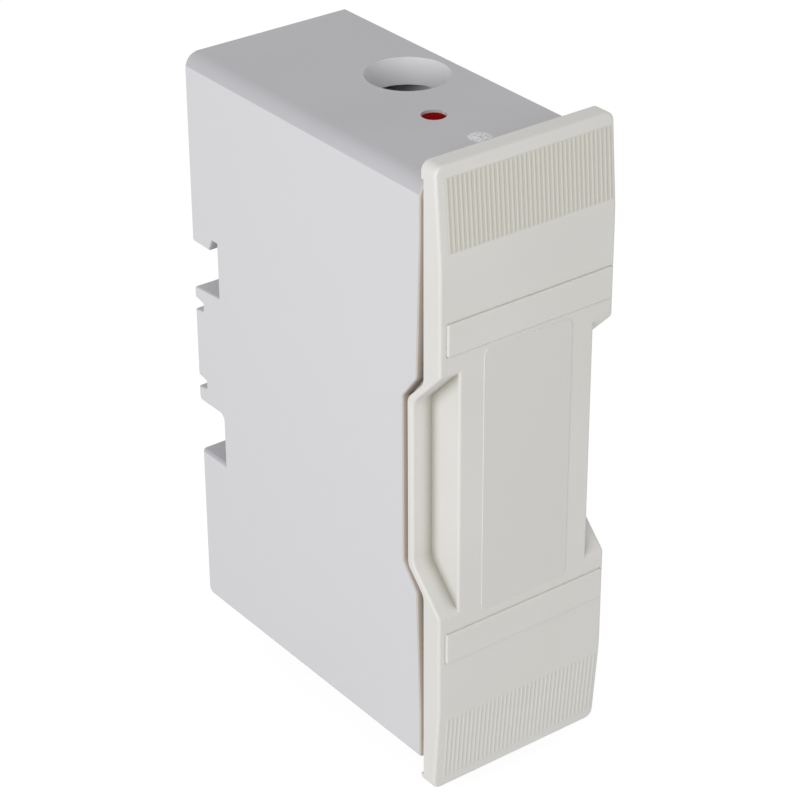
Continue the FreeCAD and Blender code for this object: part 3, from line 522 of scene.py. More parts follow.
@dataclass(frozen=True)
class RolledMetal:
    """Metal strip or turned metal with a thin plated or oxide layer."""

    # Rolling or turning leaves fine lines along one way, and the plating is cloudy where it lies thicker. The
    # lines of a real roll are some 0.02 mm apart and are drawn 0.25 mm apart to show.
    name: str
    tone: str
    cloud_tone: str
    roughness: float
    roughness_spread: Span = (-0.06, 0.1)
    draw: Point = (1.0, 1.0, 0.06)
    line_mm: float = 0.25
    line_depth_mm: float = 0.002
    cloud_mm: float = 2.5

    def build(self) -> Material:
        """Builds the material.

        Returns:
            The finished material.
        """
        material, tree, place = blank_material(self.name)
        drawn = add_node(tree, Kind.MAPPING, {"Vector": place, "Scale": self.draw})
        lines = add_node(tree, Kind.NOISE, {"Vector": drawn, "Scale": per_metre(self.line_mm), "Detail": 3.0})
        ridges = add_node(tree, Kind.BUMP, {"Height": lines, "Distance": self.line_depth_mm * MM})
        clouds = add_node(tree, Kind.NOISE, {"Vector": place, "Scale": per_metre(self.cloud_mm), "Detail": 3.0})
        share = add_node(tree, Kind.RANGE, {"Value": clouds, **NOISE_RANGE})
        plating = add_node(tree, Kind.MIX, {"Factor": share, "A": linear(self.tone),
                                            "B": linear(self.cloud_tone)}, data_type="RGBA")
        gloss = add_node(tree, Kind.RANGE, {"Value": clouds, **NOISE_RANGE,
                                            "To Min": self.roughness + self.roughness_spread[0],
                                            "To Max": self.roughness + self.roughness_spread[1]})
        shader = add_node(tree, Kind.SURFACE, {"Base Color": plating, "Metallic": 1.0, "Roughness": gloss,
                                               "Normal": ridges})
        add_node(tree, Kind.MATERIAL_OUTPUT, {"Surface": shader})
        return material


@dataclass(frozen=True)
class FiredCeramic:
    """Pressed and fired steatite, left unglazed."""

    # A dry, warm white with fine dark specks and the faint pull marks of the press.
    name: str = "fired_steatite"
    tone: str = "#E8E3D8"
    speck_tone: str = "#A79F8E"
    speck_share: float = 0.8
    speck_range: Span = (0.68, 0.76)
    roughness: Span = (0.5, 0.68)
    ior: float = 1.6
    speck_mm: float = 0.5
    pull_mm: float = 0.8
    pull_depth_mm: float = 0.01
    pull: Point = (1.0, 1.0, 0.05)

    def build(self) -> Material:
        """Builds the material.

        Returns:
            The finished material.
        """
        material, tree, place = blank_material(self.name)
        grains = add_node(tree, Kind.NOISE, {"Vector": place, "Scale": per_metre(self.speck_mm)})
        specks = add_node(tree, Kind.RANGE, {"Value": grains, **span("From", self.speck_range),
                                             "To Max": self.speck_share})
        body = add_node(tree, Kind.MIX, {"Factor": specks, "A": linear(self.tone), "B": linear(self.speck_tone)},
                        data_type="RGBA")
        pulled = add_node(tree, Kind.MAPPING, {"Vector": place, "Scale": self.pull})
        marks = add_node(tree, Kind.NOISE, {"Vector": pulled, "Scale": per_metre(self.pull_mm)})
        ridges = add_node(tree, Kind.BUMP, {"Height": marks, "Distance": self.pull_depth_mm * MM})
        gloss = add_node(tree, Kind.RANGE, {"Value": marks, **NOISE_RANGE, **span("To", self.roughness)})
        shader = add_node(tree, Kind.SURFACE, {"Base Color": body, "Roughness": gloss, "IOR": self.ior,
                                               "Normal": ridges})
        add_node(tree, Kind.MATERIAL_OUTPUT, {"Surface": shader})
        return material


@dataclass(frozen=True)
class PackedSand:
    """Graded quartz sand, packed and bound."""

    # Single grains of a few tenths of a millimetre, each a slightly different pale tan.
    name: str = "packed_quartz_sand"
    tone: str = "#D8CBB2"
    dark_tone: str = "#A99777"
    roughness: float = 0.75
    grain_mm: float = 0.4
    grain_depth_mm: float = 0.12

    def build(self) -> Material:
        """Builds the material.

        Returns:
            The finished material.
        """
        material, tree, place = blank_material(self.name)
        grains = add_node(tree, Kind.CELLS, {"Vector": place, "Scale": per_metre(self.grain_mm)})
        tones = add_node(tree, Kind.SEPARATE_COLOUR, {"Color": grains.outputs["Color"]})
        sand = add_node(tree, Kind.MIX, {"Factor": tones, "A": linear(self.tone), "B": linear(self.dark_tone)},
                        data_type="RGBA")
        bumps = add_node(tree, Kind.BUMP, {"Height": grains, "Distance": self.grain_depth_mm * MM})
        shader = add_node(tree, Kind.SURFACE, {"Base Color": sand, "Roughness": self.roughness, "Normal": bumps})
        add_node(tree, Kind.MATERIAL_OUTPUT, {"Surface": shader})
        return material


@dataclass(frozen=True)
class BandedLacquer:
    """Dipped lacquer of the series resistor with its painted value bands."""

    # Lacquer pools to a soft gloss, and the bands are thin rings of paint round the body, each given by the
    # share of its height where it starts and its tone.
    low_z: float
    high_z: float
    name: str = "dipped_resistor_lacquer"
    tone: str = "#B89B72"
    bands: tuple[tuple[float, str], ...] = ((0.16, "#5A3217"), (0.34, "#1C1B1A"), (0.52, "#C8A01E"),
                                            (0.80, "#A9853A"))
    band_share: float = 0.08
    roughness: Span = (0.22, 0.32)
    ior: float = 1.5
    pool_mm: float = 0.8

    def build(self) -> Material:
        """Builds the material for a body that stands along Z.

        Returns:
            The finished material.
        """
        material, tree, place = blank_material(self.name)
        axes = add_node(tree, Kind.SEPARATE, {"Vector": place})
        along = add_node(tree, Kind.RANGE, {"Value": axes.outputs["Z"], **span("From", (self.low_z, self.high_z))})
        paint = add_node(tree, Kind.RAMP, {"Fac": along})
        paint.color_ramp.interpolation = "CONSTANT"
        stops = paint.color_ramp.elements
        stops[0].position = 0.0
        stops[0].color = linear(self.tone)
        stops.remove(stops[1])
        for start, tone in self.bands:
            stops.new(start).color = linear(tone)
            stops.new(start + self.band_share).color = linear(self.tone)
        pools = add_node(tree, Kind.NOISE, {"Vector": place, "Scale": per_metre(self.pool_mm)})
        gloss = add_node(tree, Kind.RANGE, {"Value": pools, **NOISE_RANGE, **span("To", self.roughness)})
        shader = add_node(tree, Kind.SURFACE, {"Base Color": paint, "Roughness": gloss, "IOR": self.ior})
        add_node(tree, Kind.MATERIAL_OUTPUT, {"Surface": shader})
        return material


class Turned:
    """Meshes of turned parts: a closed profile swept round an axis, and screw threads."""

    @staticmethod
    def lathe(name: str, profile: Sequence[Span], place: Matrix, sides: int = 48) -> Object:
        """Sweeps a profile of (radius, height) points round the local Z axis.

        Args:
            name: Name of the new object.
            profile: Points from the one end on the axis to the other.
            place: Where the local frame lies.
            sides: Number of steps round the axis.

        Returns:
            The new object, not yet riding on a body.
        """
        mesh = bmesh.new()
        rings = []
        for radius, height in profile:
            if radius == 0:
                rings.append([mesh.verts.new((0.0, 0.0, height))])
                continue
            rings.append([mesh.verts.new((radius * math.cos(turn), radius * math.sin(turn), height))
                          for turn in (2 * math.pi * step / sides for step in range(sides))])
        join_rings(mesh, rings)
        return finish_mesh(name, mesh, place)

    @staticmethod
    def threaded_shank(name: str, radius: float, root_radius: float, pitch: float, length: float,
                       place: Matrix, sides: int = 32, steps_per_turn: int = 8, rise_per_turn: float = 0.8) -> Object:
        """A thread with a chamfered tip, along the local Z axis from 0 to its length.

        Args:
            name: Name of the new object.
            radius: Radius of the crests.
            root_radius: Radius of the roots.
            pitch: Advance in one turn.
            length: Length of the shank.
            place: Where the local frame lies.
            sides: Number of steps round the axis.
            steps_per_turn: Number of steps along each pitch.
            rise_per_turn: Share of its depth by which the thread rises from the tip in one turn.

        Returns:
            The new object, not yet riding on a body.
        """
        mesh = bmesh.new()
        count = round(length / pitch * steps_per_turn)
        rings = [[mesh.verts.new((0.0, 0.0, 0.0))]]
        for step in range(count + 1):
            height = length * step / count
            taper = min(1.0, (length - height) / pitch * rise_per_turn)
            ring = []
            for side in range(sides):
                phase = (height / pitch - side / sides) % 1.0
                crest = root_radius + (radius - root_radius) * (1 - abs(2 * phase - 1)) * taper
                angle = 2 * math.pi * side / sides
                ring.append(mesh.verts.new((crest * math.cos(angle), crest * math.sin(angle), height)))
            rings.append(ring)
        rings.append([mesh.verts.new((0.0, 0.0, length))])
        join_rings(mesh, rings)
        return finish_mesh(name, mesh, place, smooth_below_deg=25)


def join_rings(mesh: bmesh.types.BMesh, rings: Sequence[Sequence[bmesh.types.BMVert]]) -> None:
    """Joins a row of vertex rings into a skin; a ring of one vertex closes an end.

    Args:
        mesh: Mesh that holds the vertices.
        rings: The rings in order.
    """
    for low, high in zip(rings, rings[1:]):
        sides = max(len(low), len(high))
        for side in range(sides):
            ahead = (side + 1) % sides
            if len(low) == 1:
                mesh.faces.new((low[0], high[ahead], high[side]))
            elif len(high) == 1:
                mesh.faces.new((low[side], low[ahead], high[0]))
            else:
                mesh.faces.new((low[side], low[ahead], high[ahead], high[side]))


def finish_mesh(name: str, mesh: bmesh.types.BMesh, place: Matrix, smooth_below_deg: float = 35) -> Object:
    """Turns a mesh under construction into an object in the scene.

    Args:
        name: Name of the new object.
        mesh: Mesh under construction, which is freed.
        place: Where its local frame lies; its vertices are moved there.
        smooth_below_deg: Edges that bend less than this are shaded smooth.

    Returns:
        The new object.
    """
    mesh.transform(place)
    bmesh.ops.recalc_face_normals(mesh, faces=mesh.faces)
    for edge in mesh.edges:
        edge.smooth = len(edge.link_faces) == 2 and edge.calc_face_angle() < math.radians(smooth_below_deg)
    for face in mesh.faces:
        face.smooth = True
    data = bpy.data.meshes.new(name)
    mesh.to_mesh(data)
    mesh.free()
    made = bpy.data.objects.new(name, data)
    bpy.context.scene.collection.objects.link(made)
    return made


def tube(name: str, path: Sequence[Vector], radius: float, sides: int = 12) -> Object:
    """A round wire with flat ends along a path.

    Args:
        name: Name of the new object.
        path: Points of the centreline.
        radius: Radius of the wire.
        sides: Number of steps round it.

    Returns:
        The new object.
    """
    mesh = bmesh.new()
    rings = []
    for index, point in enumerate(path):
        ahead = path[min(index + 1, len(path) - 1)] - path[max(index - 1, 0)]
        turn = ahead.to_track_quat("Z", "Y")
        rings.append([mesh.verts.new(point + turn @ Vector((radius * math.cos(a), radius * math.sin(a), 0)))
                      for a in (2 * math.pi * side / sides for side in range(sides))])
    join_rings(mesh, [[mesh.verts.new(path[0])], *rings, [mesh.verts.new(path[-1])]])
    return finish_mesh(name, mesh, Matrix.Identity(4))


def round_steps(node: str, axis: Axis, above: float = -1.0) -> list[Span]:
    """Measures the steps of a round CAD node.

    Args:
        node: Name of the node.
        axis: The axis that it is round about.
        above: Only the part of the node above this height counts.

    Returns:
        Pairs of radius and place along the axis, without repeats, in rising order.
    """
    points = [vertex.co for vertex in frame["nodes"][node].data.vertices if vertex.co.z > above]
    across = [index for index in range(3) if index != axis.value]
    centre = [(min(point[index] for point in points) + max(point[index] for point in points)) / 2
              for index in across]
    return sorted({(round(math.hypot(point[across[0]] - centre[0], point[across[1]] - centre[1]), 5),
                    round(point[axis.value], 5)) for point in points})


def carve(piece: Object, cutter: Object) -> None:
    """Cuts one new piece's shape out of another, bakes the cut into the mesh and deletes the cutter.

    Args:
        piece: Object that keeps the rest.
        cutter: Object whose shape is taken away.
    """
    cut = piece.modifiers.new("cut", "BOOLEAN")
    cut.operation = "DIFFERENCE"
    cut.solver = "EXACT"
    cut.object = cutter
    made = bpy.data.meshes.new_from_object(piece.evaluated_get(bpy.context.evaluated_depsgraph_get()))
    piece.modifiers.clear()
    piece.data = made
    bpy.data.objects.remove(cutter)


def block(name: str, low: Vector, high: Vector) -> Object:
    """A box between two corners, for cutting.

    Args:
        name: Name of the new object.
        low: Lowest corner.
        high: Highest corner.

    Returns:
        The new object.
    """
    mesh = bmesh.new()
    bmesh.ops.create_cube(mesh, size=1.0)
    return finish_mesh(name, mesh, Matrix.Translation((low + high) / 2) @ Matrix.Diagonal((*(high - low), 1.0)))


def dress(piece: Object, material: Material, body: Body) -> None:
    """Gives a new piece its finish and its body.

    Args:
        piece: The piece.
        material: Its finish.
        body: The body that it rides on.
    """
    piece.data.materials.clear()
    piece.data.materials.append(material)
    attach(piece, body.value)
    LOG.info("%s rides on %s", piece.name, body.value)


def dress_node(node: str, material: Material, round_mm: float = 0.0) -> None:
    """Gives a CAD node its finish, and rounds its sharp edges where it has any.

    Args:
        node: Name of the node.
        material: Its finish.
        round_mm: Width of the rounding; 0 leaves the edges as they are.
    """
    piece = frame["nodes"][node]
    piece.data.materials.clear()
    piece.data.materials.append(material)
    if round_mm > 0:
        weld = piece.modifiers.new("weld", "WELD")
        weld.merge_threshold = 0.001 * MM
        bevel = piece.modifiers.new("rounding", "BEVEL")
        bevel.width = round_mm * MM
        bevel.segments = 2
        bevel.limit_method = "ANGLE"
        bevel.angle_limit = math.radians(40)
        bevel.harden_normals = True
    LOG.info("%s has the finish %s", node, material.name)


@dataclass(frozen=True)
class ScrewCut:
    """What is cut into a screw and its solid leaves out: the thread, the cross recess and the chamfers."""

    pitch: float
    recess_reach: float
    recess_width: float
    recess_depth: float
    chamfer: float
    root_share: float = 0.8


@dataclass
class MachineScrew:
    """A screw that is worked from the front: its axis runs along +Y, its head's face looks to -Y."""

    name: str
    head_front: Vector
    head_radius: float
    head_height: float
    shank_radius: float
    length: float
    cut: ScrewCut

    def frame_at(self, depth: float) -> Matrix:
        """Local frame at a distance behind the head's face, with its Z axis along the screw."""
        return Matrix.Translation(self.head_front + Vector((0, depth, 0))) @ Matrix.Rotation(-math.pi / 2, 4, "X")

    def head(self) -> Object:
        """Head with a rounded face, a chamfered foot and a cross recess.

        Returns:
            The new object, not yet riding on a body.
        """
        rim, chamfer = self.head_radius, self.cut.chamfer
        profile = [(0.0, 0.0), (rim - chamfer, 0.0), (rim - chamfer * 0.3, chamfer * 0.3), (rim, chamfer),
                   (rim, self.head_height - chamfer * 0.5), (rim - chamfer * 0.5, self.head_height),
                   (0.0, self.head_height)]
        head = Turned.lathe(self.name + "_head", profile, self.frame_at(0.0))
        half, reach = self.cut.recess_width / 2, self.cut.recess_reach
        for x, z in ((half, reach), (reach, half)):
            carve(head, block("cutter", self.head_front + Vector((-x, -chamfer, -z)),
                              self.head_front + Vector((x, self.cut.recess_depth, z))))
        return head

    def shank(self) -> Object:
        """Threaded shank, sunk a little into the head.

        Returns:
            The new object, not yet riding on a body.
        """
        sunk = self.head_height - self.cut.chamfer
        return Turned.threaded_shank(self.name + "_shank", self.shank_radius,
                                     self.shank_radius * self.cut.root_share, self.cut.pitch,
                                     self.length - sunk, self.frame_at(sunk))

    def build(self, material: Material, body: Body, node: str) -> None:
        """Builds head and shank in place of a CAD node.

        Args:
            material: Finish of the screw.
            body: The body that it rides on.
            node: CAD node that the two stand for.
        """
        for piece in (self.head(), self.shank()):
            dress(piece, material, body)
            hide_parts(node)


@dataclass
class Indicator:
    """Lens, neon lamp, series resistor and wires."""

    lens_finish: Material
    glass: Material
    wire: Material
    lens_edge: float = 0.1 * MM
    dome: float = 0.25 * MM
    dome_steps: int = 6
    lens_sides: int = 64
    lamp_sides: int = 32
    glass_wall: float = 0.25 * MM
    electrode_radius: float = 0.3 * MM
    electrode_spread: float = 0.55 * MM

    def lens(self) -> None:
        """Builds the lens with a shallow dome, a stepped flange and the lamp's socket."""
        low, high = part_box("indicator_lens")
        centre = (low + high) / 2
        corners = round_steps("indicator_lens", Axis.Z)
        flange = max(radius for radius, _ in corners)
        flange_top = max(height for radius, height in corners if radius > flange - NEAR)
        plug = max(radius for radius, height in corners if height > high.z - NEAR)
        bore = min(radius for radius, height in corners if height < low.z + NEAR)
        socket_top = max(height for radius, height in corners if abs(radius - bore) < NEAR)
        edge = self.lens_edge
        profile = [(0.0, socket_top), (bore, socket_top), (bore, low.z), (flange - edge, low.z),
                   (flange, low.z + edge), (flange, flange_top - edge), (flange - edge, flange_top),
                   (plug, flange_top)]
        for step in range(self.dome_steps):
            turn = math.pi / 2 * step / self.dome_steps
            profile.append((plug * math.cos(turn), high.z - self.dome + self.dome * math.sin(turn)))
        profile.append((0.0, high.z))
        piece = Turned.lathe("lens", profile, Matrix.Translation((centre.x, centre.y, 0.0)), self.lens_sides)
        dress(piece, self.lens_finish, Body.BASE)
        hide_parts("indicator_lens")

    def lamp(self) -> None:
        """Builds the glass tube with a drawn-off tip, and two rod electrodes in it."""
        low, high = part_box("indicator_lamp")
        centre = (low + high) / 2
        radius = (high.x - low.x) / 2
        wall = self.glass_wall
        outer = [(0.0, low.z), (radius - wall, low.z), (radius, low.z + wall), (radius, high.z - 1.2 * MM),
                 (radius * 0.8, high.z - 0.6 * MM), (radius * 0.35, high.z - 0.25 * MM), (0.0, high.z)]
        inner = [(0.0, high.z - 0.55 * MM), (radius * 0.3, high.z - 0.65 * MM),
                 (radius * 0.8 - wall, high.z - 0.95 * MM), (radius - wall, high.z - 1.35 * MM),
                 (radius - wall, low.z + 1.6 * MM), (0.0, low.z + 1.2 * MM)]
        place = Matrix.Translation((centre.x, centre.y, 0.0))
        tube_piece = Turned.lathe("neon_lamp_tube", outer, place, self.lamp_sides)
        carve(tube_piece, Turned.lathe("neon_lamp_hollow", inner, place, self.lamp_sides))
        dress(tube_piece, self.glass, Body.BASE)
        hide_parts("indicator_lamp")
        for side, word in ((1, "back"), (-1, "front")):
            path = [Vector((centre.x, centre.y + side * self.electrode_spread, height))
                    for height in (low.z + 0.4 * MM, low.z + 3.0 * MM, high.z - 2.2 * MM)]
            dress(tube("neon_electrode_" + word, path, self.electrode_radius), self.wire, Body.BASE)

    def build(self) -> None:
        """Builds the pieces and dresses the nodes that stay."""
        self.lens()
        self.lamp()
        low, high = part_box("indicator_resistor")
        dress_node("indicator_resistor", BandedLacquer(low.z, high.z).build(), round_mm=0.12)
        dress_node("indicator_leads", self.wire)


@dataclass
class LatchSpring:
    """Coil spring of the rail latch, with closed ends."""

    material: Material
    wire_radius: float = 0.2 * MM
    wire_sides: int = 10
    turns: int = 9
    closed_turns: int = 1
    steps_per_turn: int = 24
    travel: float = 3.0 * MM

    def build(self) -> None:
        """Builds the spring in place of its CAD node."""
        low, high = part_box("rail_latch_spring")
        centre = (low + high) / 2
        radius = (high.x - low.x) / 2 - self.wire_radius
        bottom = low.z + self.wire_radius
        rise = high.z - low.z - 2 * self.wire_radius
        closed = self.closed_turns * 2 * self.wire_radius
        open_turns = self.turns - 2 * self.closed_turns
        path = []
        for step in range(self.turns * self.steps_per_turn + 1):
            turn = step / self.steps_per_turn
            if turn <= self.closed_turns:
                height = turn / self.closed_turns * closed
            elif turn >= self.turns - self.closed_turns:
                height = rise - (self.turns - turn) / self.closed_turns * closed
            else:
                height = closed + (turn - self.closed_turns) / open_turns * (rise - 2 * closed)
            angle = 2 * math.pi * turn
            path.append(Vector((centre.x + radius * math.cos(angle), centre.y + radius * math.sin(angle),
                                bottom + height)))
        spring = tube("latch_coil_spring", path, self.wire_radius, self.wire_sides)
        dress(spring, self.material, Body.BASE)
        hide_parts("rail_latch_spring")
        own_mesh(spring)


@dataclass
class Stage:
    """Plain pale floor, soft lamp and the camera at the photograph's angle."""

    # The camera is solved from the straight edges of the object in the photograph.
    camera_place: Point = (-0.21549, -0.31238, 0.20009)
    azimuth_deg: float = -36.995
    elevation_deg: float = 29.465
    roll_deg: float = -0.296
    lens_mm: float = 122.53
    sensor_mm: float = 36.0
    key_way: Point = (-0.797, -0.499, 0.340)
    key_distance: float = 0.8
    key_size: float = 0.6
    key_level: float = 0.508
    sky: float = 0.53
    floor_drop: float = 4.0 * MM
    floor_size: float = 6.0
    floor_tone: str = "#F0F0F0"
    floor_glow: float = 0.92
    floor_catch: float = 0.15

    def camera(self) -> None:
        """Places the camera."""
        azimuth = math.radians(self.azimuth_deg)
        elevation = math.radians(self.elevation_deg)
        back = Vector((math.sin(azimuth) * math.cos(elevation), -math.cos(azimuth) * math.cos(elevation),
                       math.sin(elevation)))
        data = bpy.data.cameras.new("photo_camera")
        data.lens = self.lens_mm
        data.sensor_width = self.sensor_mm
        data.clip_start = 0.01
        data.clip_end = 20.0
        camera = bpy.data.objects.new("photo_camera", data)
        camera.location = self.camera_place
        camera.rotation_mode = "QUATERNION"
        roll = Quaternion((0.0, 0.0, 1.0), math.radians(self.roll_deg))
        camera.rotation_quaternion = (-back).to_track_quat("-Z", "Y") @ roll
        bpy.context.scene.collection.objects.link(camera)
        bpy.context.scene.camera = camera

    def key_lamp(self) -> None:
        """Adds the square soft lamp; at level 1 it alone would show a colour that faces it as written."""
        data = bpy.data.lights.new("key_from_the_left", "AREA")
        data.shape = "SQUARE"
        data.size = self.key_size
        data.energy = self.key_level * math.pi ** 2 * self.key_distance ** 2
        lamp = bpy.data.objects.new("key_from_the_left", data)
        away = Vector(self.key_way).normalized()
        lamp.location = (CAD_LOW + CAD_HIGH) / 2 + away * self.key_distance
        lamp.rotation_mode = "QUATERNION"
        lamp.rotation_quaternion = (-away).to_track_quat("-Z", "Y")
        bpy.context.scene.collection.objects.link(lamp)

    def seen_directly(self, tree: NodeTree) -> Node:
        """Tells what the camera sees, also through glass or in a reflection.

        Args:
            tree: Node tree that takes the nodes.

        Returns:
            Node that is 1 there and 0 for the light on the object.
        """
        path = add_node(tree, Kind.LIGHT_PATH)
        shown = add_node(tree, Kind.MATH, {0: path.outputs["Is Camera Ray"], 1: path.outputs["Is Glossy Ray"]},
                         operation="MAXIMUM")
        return add_node(tree, Kind.MATH, {0: shown, 1: path.outputs["Is Transmission Ray"]}, operation="MAXIMUM")

    def world(self) -> None:
        """Makes the world white where it is seen, and a plain grey sky as light."""
        world = bpy.data.worlds.new("studio")
        world.use_nodes = True
        tree = world.node_tree
        tree.nodes.clear()
        level = add_node(tree, Kind.RANGE, {"Value": self.seen_directly(tree), "To Min": self.sky, "To Max": 1.0})
        light = add_node(tree, Kind.BACKGROUND, {"Color": WHITE, "Strength": level})
        add_node(tree, Kind.WORLD_OUTPUT, {"Surface": light})
        bpy.context.scene.world = world

    def floor(self) -> None:
        """Adds pale paper that the camera sees as white, with the object's soft shadow on it."""
        mesh = bmesh.new()
        bmesh.ops.create_grid(mesh, x_segments=1, y_segments=1, size=self.floor_size / 2)
        floor = finish_mesh("floor", mesh, Matrix.Translation((0.0, 0.0, CAD_LOW.z - self.floor_drop)))
        material, tree, _ = blank_material("pale_paper_floor")
        seen = self.seen_directly(tree)
        catch = self.floor_catch
        tone = add_node(tree, Kind.MIX, {"Factor": seen, "A": linear(self.floor_tone),
                                         "B": (catch, catch, catch, 1.0)}, data_type="RGBA")
        paper = add_node(tree, Kind.DIFFUSE, {"Color": tone})
        glow = add_node(tree, Kind.RANGE, {"Value": seen, "To Max": self.floor_glow})
        white = add_node(tree, Kind.EMISSION, {"Color": WHITE, "Strength": glow})
        both = add_node(tree, Kind.ADD_SHADER, {0: paper, 1: white})
        add_node(tree, Kind.MATERIAL_OUTPUT, {"Surface": both})
        floor.data.materials.append(material)

    def build(self) -> None:
        """Builds the stage."""
        bpy.context.scene.view_settings.view_transform = "Standard"
        self.camera()
        self.world()
        self.floor()
        self.key_lamp()
        LOG.info("stage is set")


@dataclass
class Housing:
    """Moulded base with its two terminal shrouds."""

    tone: str = "#C2C2C6"
    flow_tone: str = "#BDBDC1"
    roughness: float = 0.42
    rim_depth: float = 4.1 * MM
    gate_foot: float = 0.06 * MM
    gate_foot_width: float = 1.0 * MM
    gap_shade_inset: float = 1.3 * MM
    end_inset: float = 4.0 * MM

    def plastic(self) -> Material:
        """Finish of the base, with its gate mark and its painted light and shade placed from the frame.

        Returns:
            The finished material.
        """
        low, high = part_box("base_housing")
        entry = next(mount for mount in frame["record"]["mounts"] if mount["name"] == "cable_entry_top")
        centre, dims = Vector(entry["pos_m"]), entry["dims"]
        reach = Vector((dims["r_mm"], dims["r_mm"], dims["length_mm"] / 2)) * MM
        margin = Vector((NEAR, NEAR, 2 * NEAR))
        top = centre.z + reach.z
        dome = [vertex.co for vertex in frame["nodes"]["base_housing"].data.vertices
                if vertex.co.z > top + 0.02 * MM]
        gate_low = [min(point[index] for point in dome) - self.gate_foot_width for index in range(2)]
        gate_high = [max(point[index] for point in dome) + self.gate_foot_width for index in range(2)]
        return ShellPlastic(
            "satin_moulded_base_plastic", self.tone, self.flow_tone, self.roughness,
            bore=Zone(tuple(centre - reach - margin), tuple(centre + reach + margin), fade_mm=0.1),
            gate=Zone((*gate_low, top + self.gate_foot), (*gate_high, max(point.z for point in dome)),
                      fade_mm=0.05),
            # Zone of the painted shadow on the front rim, which fades out towards the long sides and the ends.
            gap_shade=Zone((low.x + self.gap_shade_inset, low.y, low.z + self.end_inset),
                      (high.x - self.gap_shade_inset, high.y, high.z - self.end_inset), fade_mm=1.1),
            rim_back=low.y + self.rim_depth).build()

    def build(self) -> None:
        """Dresses the base and the shrouds."""
        dress_node("base_housing", self.plastic())
        shroud = MouldedPlastic("satin_moulded_shroud_plastic", self.tone, self.flow_tone, self.roughness).build()
        for end in End:
            dress_node("terminal_shroud_" + end.value, shroud)


@dataclass(frozen=True)
class FaceMark:
    """A mark on the carrier, in millimetres across, up and behind the plate's face."""

    across: Span
    up: Span
    behind: Span
    fade: float

    def zone(self, face: float) -> Zone:
        """Zone of the mark, in metres, for a face at this depth."""
        low, high = ((self.across[side] * MM, face + self.behind[side] * MM, self.up[side] * MM) for side in (0, 1))
        return Zone(low, high, fade_mm=self.fade)


@dataclass
class Carrier:
    """Pull-out carrier that holds the fuse link."""

    # The ribs and seams of the upper half stand for those of the lower half too, and one corner of a recess for
    # all four. A mark that starts 5 mm in front of the face is open to the front.
    spring_steel: Material
    tone: str = "#E3E1DD"
    flow_tone: str = "#DFDDD8"
    roughness: float = 0.45
    face_depth: float = 0.35 * MM
    ribs: FaceMark = FaceMark((-13.9, 14.9), (38.4, 49.0), (-5.0, 1.6), fade=0.3)
    # Zone of the painted light on the seam walls.
    seams: FaceMark = FaceMark((-14.65, 15.3), (22.5, 28.2), (0.03, 0.5), fade=0.02)
    panel: FaceMark = FaceMark((-7.8, 8.0), (-21.3, 21.7), (-5.0, -0.04), fade=0.02)
    # Zone of the painted shade in the corners of the recesses.
    recess: FaceMark = FaceMark((11.0, 15.4), (0.0, 19.0), (0.6, 6.6), fade=1.0)

    def plastic(self) -> Material:
        """Finish of the carrier, with its marks and its painted light and shade placed from the frame.

        Returns:
            The finished material.
        """
        low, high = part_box("carrier_moulding")
        face = low.y + self.face_depth
        return GrippedPlastic(
            "satin_moulded_carrier_plastic", self.tone, self.flow_tone, self.roughness,
            face_middle=(low.z + high.z) / 2, ribs=self.ribs.zone(face), seams=self.seams.zone(face),
            panel=self.panel.zone(face), recess=self.recess.zone(face)).build()

    def build(self) -> None:
        """Dresses the moulding and its retaining clips."""
        dress_node("carrier_moulding", self.plastic())
        dress_node("fuse_retaining_clips", self.spring_steel, round_mm=0.08)


@dataclass
class FuseLink:
    """Ceramic fuse link with pressed caps and offset blades."""

    ceramic: Material
    silvered: Material
    silver: Material
    sand: Material
    cap_sides: int = 72
    mouth_edge: float = 0.08 * MM
    rounding: float = 0.8 * MM
    rounding_steps: int = 5
    crimp_depth: float = 0.12 * MM
    crimp_from_mouth: float = 1.0 * MM
    crimp_width: float = 0.9 * MM

    def cap(self, node: str, side: int) -> None:
        """Builds a cup with a rounded rim and a crimped groove round its mouth.

        Args:
            node: CAD node that it stands for.
            side: 1 where the cap closes at its upper end, -1 at its lower end.
        """
        low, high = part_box(node)
        centre = (low + high) / 2
        outer = (high.x - low.x) / 2
        steps = round_steps(node, Axis.Z)
        bore = min(radius for radius, _ in steps if radius > outer / 2)
        length = high.z - low.z
        face = max(side * (height - centre.z) for radius, height in steps if abs(radius - bore) < NEAR) + length / 2
        edge, start, groove = self.mouth_edge, self.crimp_from_mouth, outer - self.crimp_depth
        profile = [(0.0, face), (bore, face), (bore, 0.0), (outer - edge, 0.0), (outer, edge), (outer, start),
                   (groove, start + self.crimp_width * 0.3), (groove, start + self.crimp_width * 0.7),
                   (outer, start + self.crimp_width)]
        for step in range(self.rounding_steps + 1):
            turn = math.pi / 2 * step / self.rounding_steps
            profile.append((outer - self.rounding * (1 - math.cos(turn)),
                            length - self.rounding * (1 - math.sin(turn))))
        profile.append((0.0, length))
        place = Matrix.Translation((centre.x, centre.y, low.z if side > 0 else high.z))
        if side < 0:
            place = place @ Matrix.Rotation(math.pi, 4, "X")
        piece = Turned.lathe(node.replace("fuse_cap", "pressed_cap"), profile, place, self.cap_sides)
        dress(piece, self.silvered, Body.CARRIER)
        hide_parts(node)

    def build(self) -> None:
        """Builds the caps and dresses the rest."""
        self.cap("fuse_cap_top", 1)
        self.cap("fuse_cap_bottom", -1)
        dress_node("fuse_barrel", self.ceramic)
        dress_node("fuse_element", self.silver)
        dress_node("fuse_filler", self.sand)
        for end in End:
            dress_node("fuse_blade_" + end.value, self.silvered, round_mm=0.15)


